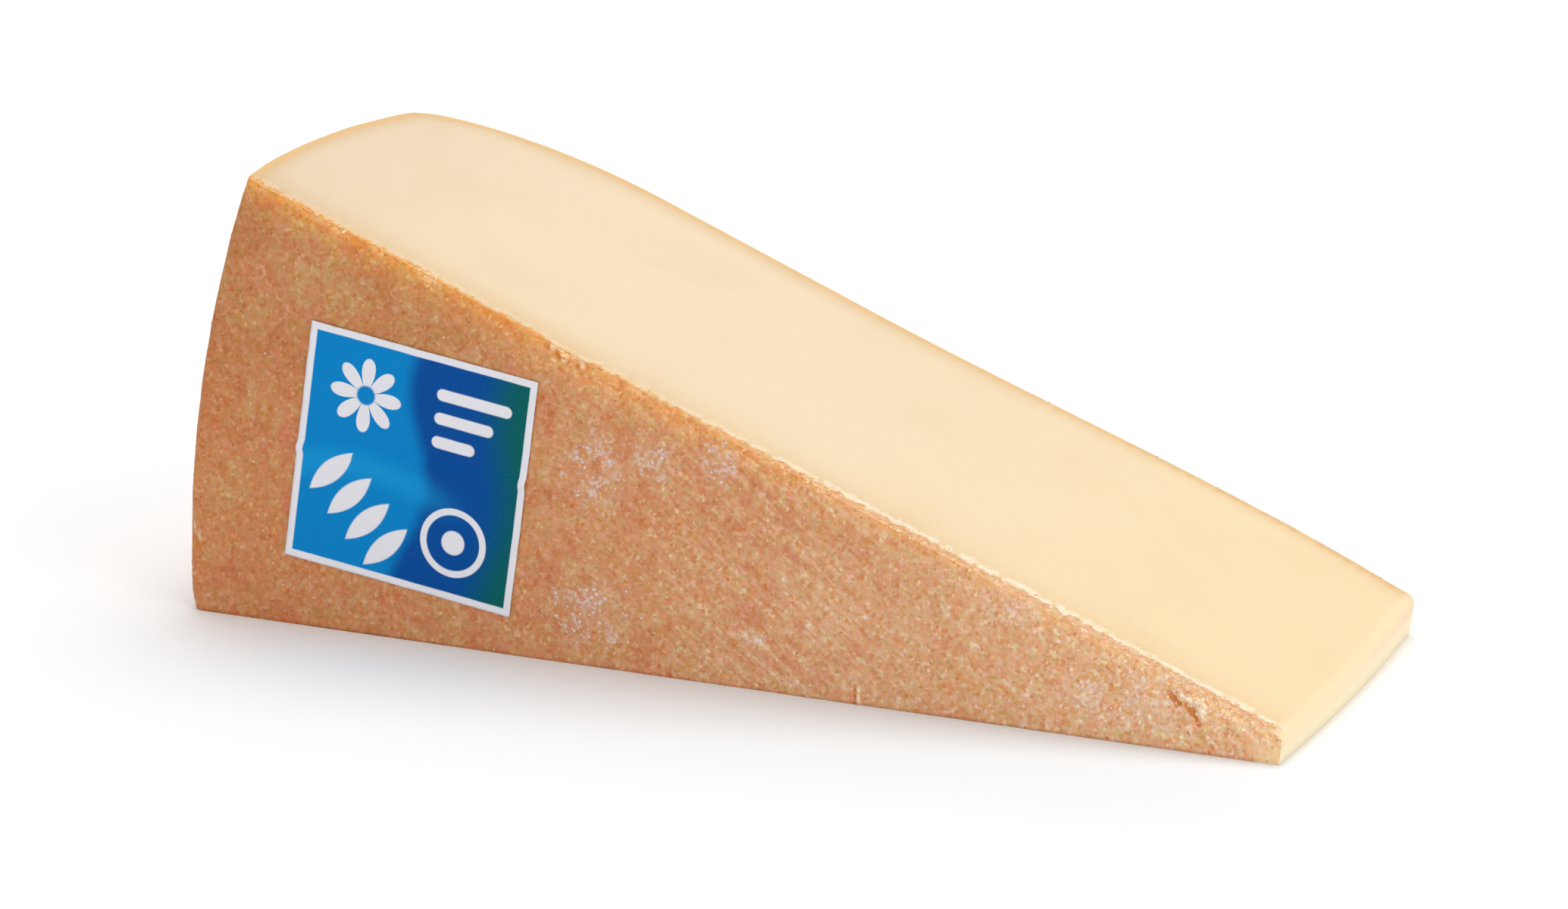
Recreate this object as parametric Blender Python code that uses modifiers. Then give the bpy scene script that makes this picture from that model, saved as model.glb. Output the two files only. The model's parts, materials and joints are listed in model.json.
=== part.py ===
"""A wedge of hard mountain cheese that lies on one cut face, with a square paper label on its rind.

The wedge is a slice of a round wheel. The wheel's axis runs level, along Y, past the thin end of the
wedge, so the wheel's two flat sides stand upright and its rim is the tall heel end. Metres, +Z up, +X
from the heel to the thin end, +Y away from the labelled side. The origin is the middle of the box
round the cheese, on the surface that it lies on.
"""

import math

import bmesh
import bpy
from mathutils import Matrix, Vector, noise

# The wheel that the wedge was cut from
WHEEL_RADIUS = 0.2545
WHEEL_THICKNESS = 0.0832
SECTOR_ANGLE = math.radians(21.25)
RIM_BELLY_Y = 0.015
RIM_ARC_RADIUS = 0.172
RIM_DRIFT = 0.0035
FOOT_WEAR = 0.0012
NEAR_CORNER_RADIUS = 0.0018
SHOULDER_START_Y = 0.062
SHOULDER_REACH = 0.0497
SHOULDER_RIM_PULL = 0.0080
SHOULDER_SIDE_PULL = 0.0261
CROWN_HEIGHT = 0.0042
CROWN_RADIUS = 0.054
CROWN_OUTER_REACH = 0.095
CROWN_INNER_REACH = 0.060

# The knife cuts
INNER_RADIUS = 0.006
TIP_NEAR = 0.0152
TIP_FAR = 0.0212
TIP_BOW = 0.00135
TIP_LEAN = math.radians(9.0)
KNIFE_CLEARANCE = 0.02
KNIFE_LOW_Z = -0.01
KNIFE_HIGH_Z = 0.03
CUT_EDGE_BEVEL = 0.0004
SHARP_EDGE = math.radians(50)

# Where the wheel's axis stands, so that the origin is under the middle of the wedge
TIP_HEIGHT = TIP_NEAR * math.tan(SECTOR_ANGLE)
HEEL_X = -(WHEEL_RADIUS - RIM_DRIFT)
TIP_X = -(TIP_NEAR - TIP_HEIGHT * math.tan(TIP_LEAN))
AXIS_X = -(HEEL_X + TIP_X) / 2
NEAR_Y = -(WHEEL_THICKNESS + CROWN_HEIGHT) / 2

# The paper label on the near side
LABEL_SIDE = 0.050
LABEL_THICKNESS = 0.00025
LABEL_GAP = 0.0003
LABEL_CORNER_X = -0.0896
LABEL_CORNER_Z = 0.0643
LABEL_TURN = math.radians(7.7)
FOLD_LEFT_V = 0.0269
FOLD_RIGHT_V = 0.0219
FOLD_HEIGHT = 0.0013
FOLD_HALF_WIDTH = 0.0022
LABEL_COLUMNS = 10
LABEL_ROWS = 56

# How finely the curves are divided
SPIN_STEPS = 14
RIM_POINTS = 14
SHOULDER_POINTS = 12
FACE_POINTS = 20
CORNER_POINTS = 4
TIP_POINTS = 10
MERGE = 0.00001
BEVEL_MERGE = 0.00005

# Breaks in the surface: the middle as (x, y, z), half sizes as (x, y, z), and a turn about Y
TIP_GOUGE = ((0.0996, NEAR_Y - 0.0003, 0.0059), (0.0062, 0.0015, 0.0012), math.radians(50.0))
TIP_HOLLOW = ((0.0962, NEAR_Y - 0.0001, 0.0102), (0.0023, 0.0016, 0.0018), math.radians(20.0))
TIP_FLAKE = ((0.1008, NEAR_Y + 0.0001, 0.0090), (0.0030, 0.0007, 0.0011), math.radians(38.0))
FOOT_NICK = ((0.0287, NEAR_Y - 0.0002, 0.0006), (0.0006, 0.0011, 0.0036), 0.0)
HEEL_NICK = ((-0.1169, NEAR_Y + 0.0004, 0.0165), (0.0012, 0.0018, 0.0026), math.radians(-19.0))
BREAK_ROUGHNESS = 0.22
BREAK_BUMPS = 1.7
SEEDS_PER_METRE = 1000

# Breaks along the top cut edge: how far along X, and half sizes
EDGE_TEAR = (-0.0336, (0.0046, 0.0019, 0.0017))
EDGE_BITES = (
    (0.0890, (0.0020, 0.0013, 0.0009)),
    (0.1056, (0.0024, 0.0014, 0.0009)),
    (0.1122, (0.0015, 0.0012, 0.0008)),
)
TEAR_CRACKS = 4
CRACK_SPACING = 0.0021
CRACK_HALF_SIZES = (0.00035, 0.0010, 0.0024)
CRACK_DROP = 0.0026

# Linear red, green and blue
CHEESE_COLOUR = (0.62, 0.37, 0.18)
LABEL_COLOUR = (0.05, 0.22, 0.50)


def collection(name):
    """A new collection of that name in the scene."""
    made = bpy.data.collections.new(name)
    bpy.context.scene.collection.children.link(made)
    return made


def material(name, colour, roughness):
    """A plain surface of one colour, in linear red, green and blue."""
    made = bpy.data.materials.new(name)
    made.use_nodes = True
    shader = made.node_tree.nodes["Principled BSDF"]
    shader.inputs["Base Color"].default_value = (*colour, 1.0)
    shader.inputs["Roughness"].default_value = roughness
    shader.inputs["Metallic"].default_value = 0.0
    return made


def add_object(name, mesh, into, surface=None):
    """An object at the origin that shows the mesh in its place."""
    made = bpy.data.objects.new(name, mesh)
    into.objects.link(made)
    if surface:
        mesh.materials.append(surface)
    return made


def finished_mesh(shape, name):
    """The bmesh as a mesh of that name, its faces pointing out."""
    bmesh.ops.recalc_face_normals(shape, faces=shape.faces)
    mesh = bpy.data.meshes.new(name)
    shape.to_mesh(mesh)
    shape.free()
    return mesh


def rim_radius(y):
    """The rim's distance from the wheel's axis, y in from the near side."""
    return WHEEL_RADIUS - (y - RIM_BELLY_Y) ** 2 / (2 * RIM_ARC_RADIUS)


def far_side_y(radius):
    """How far in the wheel's far side lies, which swells a little towards the middle of the wheel."""
    reach = CROWN_OUTER_REACH if radius > CROWN_RADIUS else CROWN_INNER_REACH
    away = min(abs(radius - CROWN_RADIUS) / reach, 1.0)
    return WHEEL_THICKNESS + CROWN_HEIGHT * 0.5 * (1 + math.cos(math.pi * away))


def bezier(points, share):
    """A point on a cubic Bezier curve of four points."""
    a, b, c, d = (Vector(point) for point in points)
    rest = 1 - share
    return rest**3 * a + 3 * rest**2 * share * b + 3 * rest * share**2 * c + share**3 * d


def wheel_outline():
    """The wheel's half section as (radius, y): near side, rim, round shoulder, far side."""
    outline = [(INNER_RADIUS, 0.0)]
    corner = NEAR_CORNER_RADIUS
    middle = rim_radius(corner) - corner
    for step in range(CORNER_POINTS + 1):
        turn = math.pi / 2 * step / CORNER_POINTS
        outline.append((middle + corner * math.sin(turn), corner * (1 - math.cos(turn))))
    for step in range(1, RIM_POINTS + 1):
        y = corner + (SHOULDER_START_Y - corner) * step / RIM_POINTS
        outline.append((rim_radius(y), y))
    start = rim_radius(SHOULDER_START_Y)
    slope = (SHOULDER_START_Y - RIM_BELLY_Y) / RIM_ARC_RADIUS
    shoulder_end = start - SHOULDER_REACH
    shoulder = (
        (start, SHOULDER_START_Y),
        (start - slope * SHOULDER_RIM_PULL, SHOULDER_START_Y + SHOULDER_RIM_PULL),
        (shoulder_end + SHOULDER_SIDE_PULL, WHEEL_THICKNESS),
        (shoulder_end, WHEEL_THICKNESS),
    )
    for step in range(1, SHOULDER_POINTS + 1):
        outline.append(tuple(bezier(shoulder, step / SHOULDER_POINTS)))
    for step in range(1, FACE_POINTS + 1):
        radius = shoulder_end + (INNER_RADIUS - shoulder_end) * step / FACE_POINTS
        outline.append((radius, far_side_y(radius)))
    return outline


def build_sector():
    """The slice of the wheel: its filled section, spun up about the wheel's axis."""
    shape = bmesh.new()
    corners = [
        shape.verts.new((AXIS_X - radius, NEAR_Y + y, 0.0)) for radius, y in wheel_outline()
    ]
    section = shape.faces.new(corners)
    bmesh.ops.spin(
        shape,
        geom=[section, *section.edges, *section.verts],
        cent=(AXIS_X, 0.0, 0.0),
        axis=(0.0, 1.0, 0.0),
        angle=SECTOR_ANGLE,
        steps=SPIN_STEPS,
    )
    bmesh.ops.remove_doubles(shape, verts=shape.verts, dist=MERGE)
    for corner in shape.verts:
        x, z = corner.co.x - AXIS_X, corner.co.z
        radius = math.hypot(x, z)
        if radius > MERGE:
            risen = math.atan2(z, -x) / SECTOR_ANGLE
            wear = RIM_DRIFT * (1 - risen) + (FOOT_WEAR if z < MERGE else 0.0)
            share = 1 - wear * (radius / WHEEL_RADIUS) ** 3 / WHEEL_RADIUS
            corner.co.x, corner.co.z = AXIS_X + x * share, z * share
    return finished_mesh(shape, "cheese_wedge")


def build_tip_knife():
    """A block that takes off the thin end along a slightly bowed cut, leaning out towards its top."""
    depth = WHEEL_THICKNESS + CROWN_HEIGHT
    height = KNIFE_HIGH_Z - KNIFE_LOW_Z
    lean = math.tan(TIP_LEAN)
    shape = bmesh.new()
    outline = []
    for step in range(-2, TIP_POINTS + 3):
        share = step / TIP_POINTS
        radius = TIP_NEAR + (TIP_FAR - TIP_NEAR) * share - 4 * TIP_BOW * share * (1 - share)
        outline.append((AXIS_X - radius, NEAR_Y + depth * share))
    outline.append((AXIS_X + KNIFE_CLEARANCE, outline[-1][1]))
    outline.append((AXIS_X + KNIFE_CLEARANCE, outline[0][1]))
    low = [shape.verts.new((x + KNIFE_LOW_Z * lean, y, KNIFE_LOW_Z)) for x, y in outline]
    raised = bmesh.ops.extrude_face_region(shape, geom=[shape.faces.new(low)])
    high = [item for item in raised["geom"] if isinstance(item, bmesh.types.BMVert)]
    bmesh.ops.translate(shape, verts=high, vec=(height * lean, 0.0, height))
    return finished_mesh(shape, "tip_knife")


def build_lump(name, middle, half_sizes, turn):
    """A rough lump, the size of one flake that stands out or of one chip that is taken out."""
    shape = bmesh.new()
    bmesh.ops.create_icosphere(shape, subdivisions=2, radius=1.0)
    seed = Vector(middle) * SEEDS_PER_METRE
    for corner in shape.verts:
        corner.co *= 1 + BREAK_ROUGHNESS * noise.noise(corner.co * BREAK_BUMPS + seed)
    turned = Matrix.Rotation(turn, 4, "Y") @ Matrix.Diagonal((*half_sizes, 1.0))
    bmesh.ops.transform(shape, matrix=Matrix.Translation(middle) @ turned, verts=shape.verts)
    return finished_mesh(shape, name)


def cut_height(x):
    """How high the top cut face stands over a point along X."""
    return (AXIS_X - x) * math.tan(SECTOR_ANGLE)


def break_list():
    """Every chip, nick and crack: its name, middle, half sizes and turn."""
    breaks = [
        ("tip_gouge", *TIP_GOUGE),
        ("tip_hollow", *TIP_HOLLOW),
        ("foot_nick", *FOOT_NICK),
        ("heel_nick", *HEEL_NICK),
    ]
    for number, (x, half_sizes) in enumerate((EDGE_TEAR, *EDGE_BITES)):
        middle = (x, NEAR_Y - half_sizes[1] / 4, cut_height(x))
        breaks.append((f"edge_break_{number}", middle, half_sizes, SECTOR_ANGLE))
    for number in range(TEAR_CRACKS):
        x = EDGE_TEAR[0] + (number - (TEAR_CRACKS - 1) / 2) * CRACK_SPACING
        middle = (x, NEAR_Y - CRACK_HALF_SIZES[1] / 3, cut_height(x) - CRACK_DROP)
        breaks.append((f"tear_crack_{number}", middle, CRACK_HALF_SIZES, 0.0))
    return breaks


def hide_cutter(cutter):
    """Shows a cutter as wires, and leaves it out of a render."""
    cutter.hide_render = True
    cutter.display_type = "WIRE"


def build_wedge(parts, cutters):
    """The cheese: a slice of the wheel, its thin end cut off, with one flake and its breaks."""
    surface = material("cheese", CHEESE_COLOUR, 0.6)
    wedge = add_object("cheese_wedge", build_sector(), parts, surface)
    knife = add_object("tip_knife", build_tip_knife(), cutters)
    hide_cutter(knife)
    cut = wedge.modifiers.new("tip_cut", "BOOLEAN")
    cut.operation = "DIFFERENCE"
    cut.object = knife
    bevel = wedge.modifiers.new("cut_edges", "BEVEL")
    bevel.width = CUT_EDGE_BEVEL
    bevel.segments = 1
    bevel.limit_method = "ANGLE"
    bevel.angle_limit = SHARP_EDGE
    weld = wedge.modifiers.new("bevel_ends", "WELD")
    weld.merge_threshold = BEVEL_MERGE
    flake = add_object("tip_flake", build_lump("tip_flake", *TIP_FLAKE), cutters)
    hide_cutter(flake)
    raised = wedge.modifiers.new("tip_flake", "BOOLEAN")
    raised.operation = "UNION"
    raised.object = flake
    breaks = bpy.data.collections.new("breaks")
    cutters.children.link(breaks)
    for name, *sizes in break_list():
        hide_cutter(add_object(name, build_lump(name, *sizes), breaks))
    chips = wedge.modifiers.new("breaks", "BOOLEAN")
    chips.operation = "DIFFERENCE"
    chips.operand_type = "COLLECTION"
    chips.use_self = True
    chips.collection = breaks


def fold_rise(across, down):
    """How far the label stands off the rind at a point, because of the low fold across it."""
    line = FOLD_LEFT_V + (FOLD_RIGHT_V - FOLD_LEFT_V) * across / LABEL_SIDE
    away = min(abs(down - line) / FOLD_HALF_WIDTH, 1.0)
    return FOLD_HEIGHT * 0.5 * (1 + math.cos(math.pi * away))


def build_label(parts):
    """The square paper label, turned on the rind, with one low fold running across it."""
    shape = bmesh.new()
    bmesh.ops.create_grid(
        shape, x_segments=LABEL_COLUMNS, y_segments=LABEL_ROWS, size=LABEL_SIDE / 2
    )
    turn = Matrix.Rotation(LABEL_TURN, 3, "Y")
    corner_place = Vector((LABEL_CORNER_X, NEAR_Y - LABEL_GAP, LABEL_CORNER_Z))
    for corner in shape.verts:
        across = corner.co.x + LABEL_SIDE / 2
        down = LABEL_SIDE / 2 - corner.co.y
        flat = Vector((across, -fold_rise(across, down), -down))
        corner.co = corner_place + turn @ flat
    mesh = finished_mesh(shape, "label")
    if mesh.polygons[0].normal.y > 0:
        mesh.flip_normals()
    label = add_object("label", mesh, parts, material("label_paper", LABEL_COLOUR, 0.35))
    sheet = label.modifiers.new("paper", "SOLIDIFY")
    sheet.thickness = LABEL_THICKNESS
    sheet.offset = 1.0


def main():
    """Clears the scene and builds the wedge and its label."""
    for old in list(bpy.data.objects):
        bpy.data.objects.remove(old, do_unlink=True)
    parts = collection("cheese_wedge")
    cutters = collection("cutters")
    build_wedge(parts, cutters)
    build_label(parts)


main()
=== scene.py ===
"""The looks of a wedge of hard mountain cheese that lies on one cut face.

The wedge is a slice of a round wheel: a granular washed rind on three sides, smooth pale paste on the cut
faces, and a square paper label on the rind. Metres, +Z up, +X from the heel to the thin end, +Y away from
the labelled side, in the same frame as the solids that it is built around.
"""

from __future__ import annotations

import json
import logging
import math
from dataclasses import dataclass, field
from enum import Enum

import bpy
import numpy as np
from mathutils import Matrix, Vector

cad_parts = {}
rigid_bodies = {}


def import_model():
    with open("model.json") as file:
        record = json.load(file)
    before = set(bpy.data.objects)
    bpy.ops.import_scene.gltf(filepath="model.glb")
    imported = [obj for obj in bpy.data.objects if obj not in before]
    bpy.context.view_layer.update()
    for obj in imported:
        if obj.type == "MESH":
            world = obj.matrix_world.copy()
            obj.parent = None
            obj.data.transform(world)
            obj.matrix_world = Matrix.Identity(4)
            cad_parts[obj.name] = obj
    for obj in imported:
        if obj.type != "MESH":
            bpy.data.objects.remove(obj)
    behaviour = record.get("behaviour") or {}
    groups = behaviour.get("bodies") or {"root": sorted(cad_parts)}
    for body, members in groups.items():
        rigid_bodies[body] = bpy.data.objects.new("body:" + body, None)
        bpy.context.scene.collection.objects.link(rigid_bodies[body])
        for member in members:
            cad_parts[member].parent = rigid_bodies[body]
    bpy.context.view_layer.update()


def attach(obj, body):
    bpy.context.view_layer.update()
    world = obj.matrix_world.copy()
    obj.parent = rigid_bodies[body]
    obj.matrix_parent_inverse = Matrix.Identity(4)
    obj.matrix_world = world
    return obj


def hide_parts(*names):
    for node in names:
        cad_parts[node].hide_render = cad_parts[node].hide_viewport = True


LOG = logging.getLogger("cheese")
MM = 0.001
BODY = "root"
LINE_KNOTS = 1200
SIDE_KNOTS = 400

Colour = tuple[float, ...]
Spot = tuple[float, float]
# from where something is absent to where it is full, or a middle and how far it reaches
Band = tuple[float, float]


def tint(red: float, green: float, blue: float) -> Colour:
    """Turns a colour as seen on a screen into light values.

    Args:
        red, green, blue: from 0 to 255.

    Returns:
        Linear red, green, blue and a full alpha.
    """
    shares = np.array((red, green, blue)) / 255
    light = np.where(shares <= 0.04045, shares / 12.92, ((shares + 0.055) / 1.055) ** 2.4)
    return (*(float(value) for value in light), 1.0)


def placed(name: str, data: bpy.types.ID) -> bpy.types.Object:
    """Puts a new object into the scene.

    Args:
        name: the object's name.
        data: what it holds: a mesh, a lamp or a camera.

    Returns:
        The new object, at the origin.
    """
    made = bpy.data.objects.new(name, data)
    bpy.context.scene.collection.objects.link(made)
    return made


class TreeKind(Enum):
    """The two kinds of node tree that the wedge uses."""

    SHADER = "ShaderNodeTree"
    GEOMETRY = "GeometryNodeTree"


class Field:
    """A value that flows through a node tree, with the usual signs for sums."""

    def __init__(self, sheet: NodeSheet, socket: bpy.types.NodeSocket) -> None:
        """Wraps one output socket of the sheet."""
        self.sheet = sheet
        self.socket = socket

    def __add__(self, other: Field | float) -> Field:
        """The sum."""
        return self.sheet.math("ADD", self, other)

    def __sub__(self, other: Field | float) -> Field:
        """The difference."""
        return self.sheet.math("SUBTRACT", self, other)

    def __rsub__(self, other: float) -> Field:
        """The difference, from a plain number."""
        return self.sheet.math("SUBTRACT", other, self)

    def __mul__(self, other: Field | float) -> Field:
        """The product."""
        return self.sheet.math("MULTIPLY", self, other)

    def __truediv__(self, other: Field | float) -> Field:
        """The quotient."""
        return self.sheet.math("DIVIDE", self, other)

    def __pow__(self, other: float) -> Field:
        """The power."""
        return self.sheet.math("POWER", self, other)

    def rise(self, start: float, end: float) -> Field:
        """Eases from 0 at one value to 1 at another.

        Args:
            start: where it is 0.
            end: where it is 1, above or below the start.

        Returns:
            The eased share.
        """
        low, high = min(start, end), max(start, end)
        node = self.sheet.node("ShaderNodeMapRange", interpolation_type="SMOOTHSTEP")
        outputs = (0.0, 1.0) if start < end else (1.0, 0.0)
        self.sheet.feed(node, {0: self, 1: low, 2: high, 3: outputs[0], 4: outputs[1]})
        return Field(self.sheet, node.outputs[0])

    def bell(self, middle: float, reach: float) -> Field:
        """Is 1 at the middle and eases to 0 at reach on either side."""
        return self.sheet.math("ABSOLUTE", self - middle).rise(reach, 0.0)


class NodeSheet:
    """A node tree with short calls that add and join its nodes."""

    def __init__(self, tree: bpy.types.NodeTree) -> None:
        """Starts on an empty tree."""
        self.tree = tree
        tree.nodes.clear()

    def node(self, kind: str, **settings: object) -> bpy.types.Node:
        """Adds a node.

        Args:
            kind: the node's kind.
            settings: the node's own settings.

        Returns:
            The new node.
        """
        made = self.tree.nodes.new(kind)
        for name, value in settings.items():
            setattr(made, name, value)
        return made

    def feed(self, node: bpy.types.Node, values: dict[int | str, object]) -> None:
        """Fills a node's inputs.

        Args:
            node: the node whose inputs are filled.
            values: for each input, by number or name, a field to link or a plain value to set.
        """
        for key, value in values.items():
            if isinstance(value, Field):
                self.tree.links.new(value.socket, node.inputs[key])
            else:
                node.inputs[key].default_value = value

    def math(self, operation: str, *values: Field | float) -> Field:
        """Adds one math node.

        Args:
            operation: what it does.
            values: the fields or numbers that it does it to.

        Returns:
            What comes out.
        """
        node = self.node("ShaderNodeMath", operation=operation)
        self.feed(node, dict(enumerate(values)))
        return Field(self, node.outputs[0])

    def vector(self, operation: str, *values: object, output: int = 0) -> Field:
        """Adds one vector math node.

        Args:
            operation: what it does.
            values: the places or directions that it does it to.
            output: 0 for a place or direction, 1 for a number.

        Returns:
            What comes out.
        """
        node = self.node("ShaderNodeVectorMath", operation=operation)
        self.feed(node, dict(enumerate(values)))
        return Field(self, node.outputs[output])

    def scaled(self, place: Field, factors: tuple[float, float, float]) -> Field:
        """The place with each of its three numbers multiplied."""
        return self.vector("MULTIPLY", place, factors)

    def moved(self, place: Field, seed: float) -> Field:
        """The place shifted far off, so that two patterns of one kind differ."""
        return self.vector("ADD", place, (seed * 0.731, seed * 0.377, seed * 0.519))

    def split(self, place: Field) -> tuple[Field, Field, Field]:
        """Takes a place apart.

        Args:
            place: a place or direction.

        Returns:
            Its three numbers.
        """
        node = self.node("ShaderNodeSeparateXYZ")
        self.feed(node, {0: place})
        return tuple(Field(self, node.outputs[axis]) for axis in range(3))

    def joined(self, x: Field | float, y: Field | float, z: Field | float) -> Field:
        """Puts a place together.

        Args:
            x, y, z: its three numbers.

        Returns:
            The place.
        """
        node = self.node("ShaderNodeCombineXYZ")
        self.feed(node, {0: x, 1: y, 2: z})
        return Field(self, node.outputs[0])

    def cloud(self, place: Field, size: float, seed: float, detail: float = 2.0) -> Field:
        """Soft noise about 0.5.

        Args:
            place: where a point is.
            size: how wide the lumps are, in metres.
            seed: which pattern of its kind it is.
            detail: how many finer layers lie over the lumps.

        Returns:
            The noise.
        """
        node = self.node("ShaderNodeTexNoise")
        self.feed(node, {"Vector": self.moved(place, seed), "Scale": 1 / size, "Detail": detail})
        return Field(self, node.outputs[0])

    def cells(self, place: Field, size: float, seed: float, output: str = "Distance") -> Field:
        """Cells packed about random middles.

        Args:
            place: where a point is.
            size: how wide the cells are, in metres.
            seed: which pattern of its kind it is.
            output: what is wanted, the distance from a cell's middle or its random colour.

        Returns:
            What is wanted of the cells.
        """
        node = self.node("ShaderNodeTexVoronoi")
        self.feed(node, {"Vector": self.moved(place, seed), "Scale": 1 / size})
        return Field(self, node.outputs[output])

    def attribute(self, name: str) -> Field:
        """A number kept on the mesh.

        Args:
            name: the attribute's name.

        Returns:
            The number.
        """
        if self.tree.bl_idname == TreeKind.SHADER.value:
            return Field(self, self.node("ShaderNodeAttribute", attribute_name=name).outputs["Fac"])
        node = self.node("GeometryNodeInputNamedAttribute", data_type="FLOAT")
        self.feed(node, {0: name})
        return Field(self, node.outputs[0])

    def attribute_vector(self, name: str) -> Field:
        """A direction kept on the mesh, in a geometry tree.

        Args:
            name: the attribute's name.

        Returns:
            The direction.
        """
        node = self.node("GeometryNodeInputNamedAttribute", data_type="FLOAT_VECTOR")
        self.feed(node, {0: name})
        return Field(self, node.outputs[0])

    def mix(self, low: object, high: object, share: Field | float, blend: str = "MIX") -> Field:
        """Mixes two colours.

        Args:
            low, high: the colours.
            share: how much of the second one there is, from 0 to 1.
            blend: how the second one lies on the first.

        Returns:
            The mixed colour.
        """
        node = self.node("ShaderNodeMix", data_type="RGBA", blend_type=blend)
        self.feed(node, {0: share, 6: low, 7: high})
        return Field(self, node.outputs[2])

    def shade(self, ground: object, tone: object, share: Field | float) -> Field:
        """The ground multiplied by a tone, with the tone's share."""
        return self.mix(ground, tone, share, "MULTIPLY")

    def wobble(self, place: Field, size: float, seed: float, height: Field | float) -> Field:
        """Soft noise about 0, with lumps of that size, over that height from top to bottom."""
        return (self.cloud(place, size, seed) - 0.5) * height

    def length(self, right: Field, up: Field) -> Field:
        """How long a flat step is that goes that far right and up."""
        return self.vector("LENGTH", self.joined(right, up, 0.0), output=1)

    def largest(self, *values: Field | float) -> Field:
        """The largest of the values.

        Args:
            values: two or more fields or numbers.

        Returns:
            At each point, the largest one.
        """
        whole = values[0]
        for value in values[1:]:
            whole = self.math("MAXIMUM", whole, value)
        return whole


class SurfaceSheet(NodeSheet):
    """The node tree of a material, with its one surface shader."""

    def __init__(self, name: str) -> None:
        """Makes a material.

        Args:
            name: the material's name.
        """
        self.material = bpy.data.materials.new(name)
        self.material.use_nodes = True
        super().__init__(self.material.node_tree)
        self.shader = self.node("ShaderNodeBsdfPrincipled")
        output = self.node("ShaderNodeOutputMaterial")
        self.tree.links.new(self.shader.outputs[0], output.inputs[0])

    def place(self) -> Field:
        """Where a point is, in metres, in the wedge's own frame."""
        return Field(self, self.node("ShaderNodeTexCoord").outputs["Object"])

    def label_place(self) -> tuple[Field, Field]:
        """How far across and down the label a point is, from 0 to 1."""
        across, down, _ = self.split(Field(self, self.node("ShaderNodeTexCoord").outputs["UV"]))
        return across, down

    def relief(self, height: Field) -> None:
        """Gives the surface fine relief.

        Args:
            height: how high it stands, in metres.
        """
        bump = self.node("ShaderNodeBump")
        self.feed(bump, {"Strength": 1.0, "Distance": 1.0, "Height": height})
        self.feed(self.shader, {"Normal": Field(self, bump.outputs[0])})

    def coat(self, ground: Field, rough: Field | float, shine: float) -> None:
        """Gives the surface its colour, its roughness and its shine."""
        self.feed(self.shader, {"Base Color": ground, "Roughness": rough, "Specular IOR Level": shine})

    def soften(self, weight: float, colours: tuple[float, float, float], reach: float) -> None:
        """Lets light spread below the surface, red farthest."""
        values = {"Subsurface Weight": weight, "Subsurface Radius": colours, "Subsurface Scale": reach}
        self.feed(self.shader, values)


class ShapeSheet(NodeSheet):
    """A geometry node tree with named inputs, whose first input and output are the shape."""

    def __init__(self, name: str, sizes: dict[str, float]) -> None:
        """Makes the tree.

        Args:
            name: the tree's name.
            sizes: its numbers by name, one input each.
        """
        super().__init__(bpy.data.node_groups.new(name, TreeKind.GEOMETRY.value))
        self.sizes = sizes
        face = self.tree.interface
        face.new_socket("Geometry", in_out="INPUT", socket_type="NodeSocketGeometry")
        face.new_socket("Geometry", in_out="OUTPUT", socket_type="NodeSocketGeometry")
        for size_name in sizes:
            face.new_socket(size_name, in_out="INPUT", socket_type="NodeSocketFloat")
        self.entry = self.node("NodeGroupInput")
        self.exit = self.node("NodeGroupOutput")

    def size(self, name: str) -> Field:
        """One of the tree's named sizes."""
        return Field(self, self.entry.outputs[name])

    def shape(self) -> Field:
        """The shape that comes in."""
        return Field(self, self.entry.outputs["Geometry"])

    def place(self) -> Field:
        """Where a point is at that step, in metres."""
        return Field(self, self.node("GeometryNodeInputPosition").outputs[0])

    def step(self, kind: str, shape: Field, values: dict[int | str, object], **settings: object) -> Field:
        """Passes the shape through one node.

        Args:
            kind: the node's kind.
            shape: the shape that enters by the node's first input.
            values: the node's other inputs.
            settings: the node's own settings.

        Returns:
            The shape that leaves by the node's first output.
        """
        node = self.node(kind, **settings)
        self.feed(node, {0: shape, **values})
        return Field(self, node.outputs[0])

    def close(self, shape: Field, dress: dict[str, bpy.types.Material]) -> None:
        """Ends the tree: instances made real, then one material for each named selection.

        Args:
            shape: the finished shape.
            dress: materials by the name of the face attribute that selects them, "" for every face.
        """
        shape = self.step("GeometryNodeRealizeInstances", shape, {})
        for name, material in dress.items():
            values: dict[int | str, object] = {"Material": material}
            if name:
                values["Selection"] = self.attribute(name)
            shape = self.step("GeometryNodeSetMaterial", shape, values)
        self.tree.links.new(shape.socket, self.exit.inputs["Geometry"])

    def grow(self, name: str, base: bpy.types.Mesh) -> bpy.types.Object:
        """Runs the tree on a base mesh.

        Args:
            name: the finished piece's name.
            base: the mesh that enters the tree.

        Returns:
            A new object that holds the result as a plain mesh, at the origin.
        """
        carrier = placed(name + "_base", base)
        modifier = carrier.modifiers.new(self.tree.name, "NODES")
        modifier.node_group = self.tree
        for item in self.tree.interface.items_tree:
            if item.in_out == "INPUT" and item.name in self.sizes:
                modifier[item.identifier] = float(self.sizes[item.name])
        carrier.update_tag()
        bpy.context.view_layer.update()
        evaluated = carrier.evaluated_get(bpy.context.evaluated_depsgraph_get())
        mesh = bpy.data.meshes.new_from_object(evaluated)
        mesh.name = name
        bpy.data.objects.remove(carrier)
        return placed(name, mesh)


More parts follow.
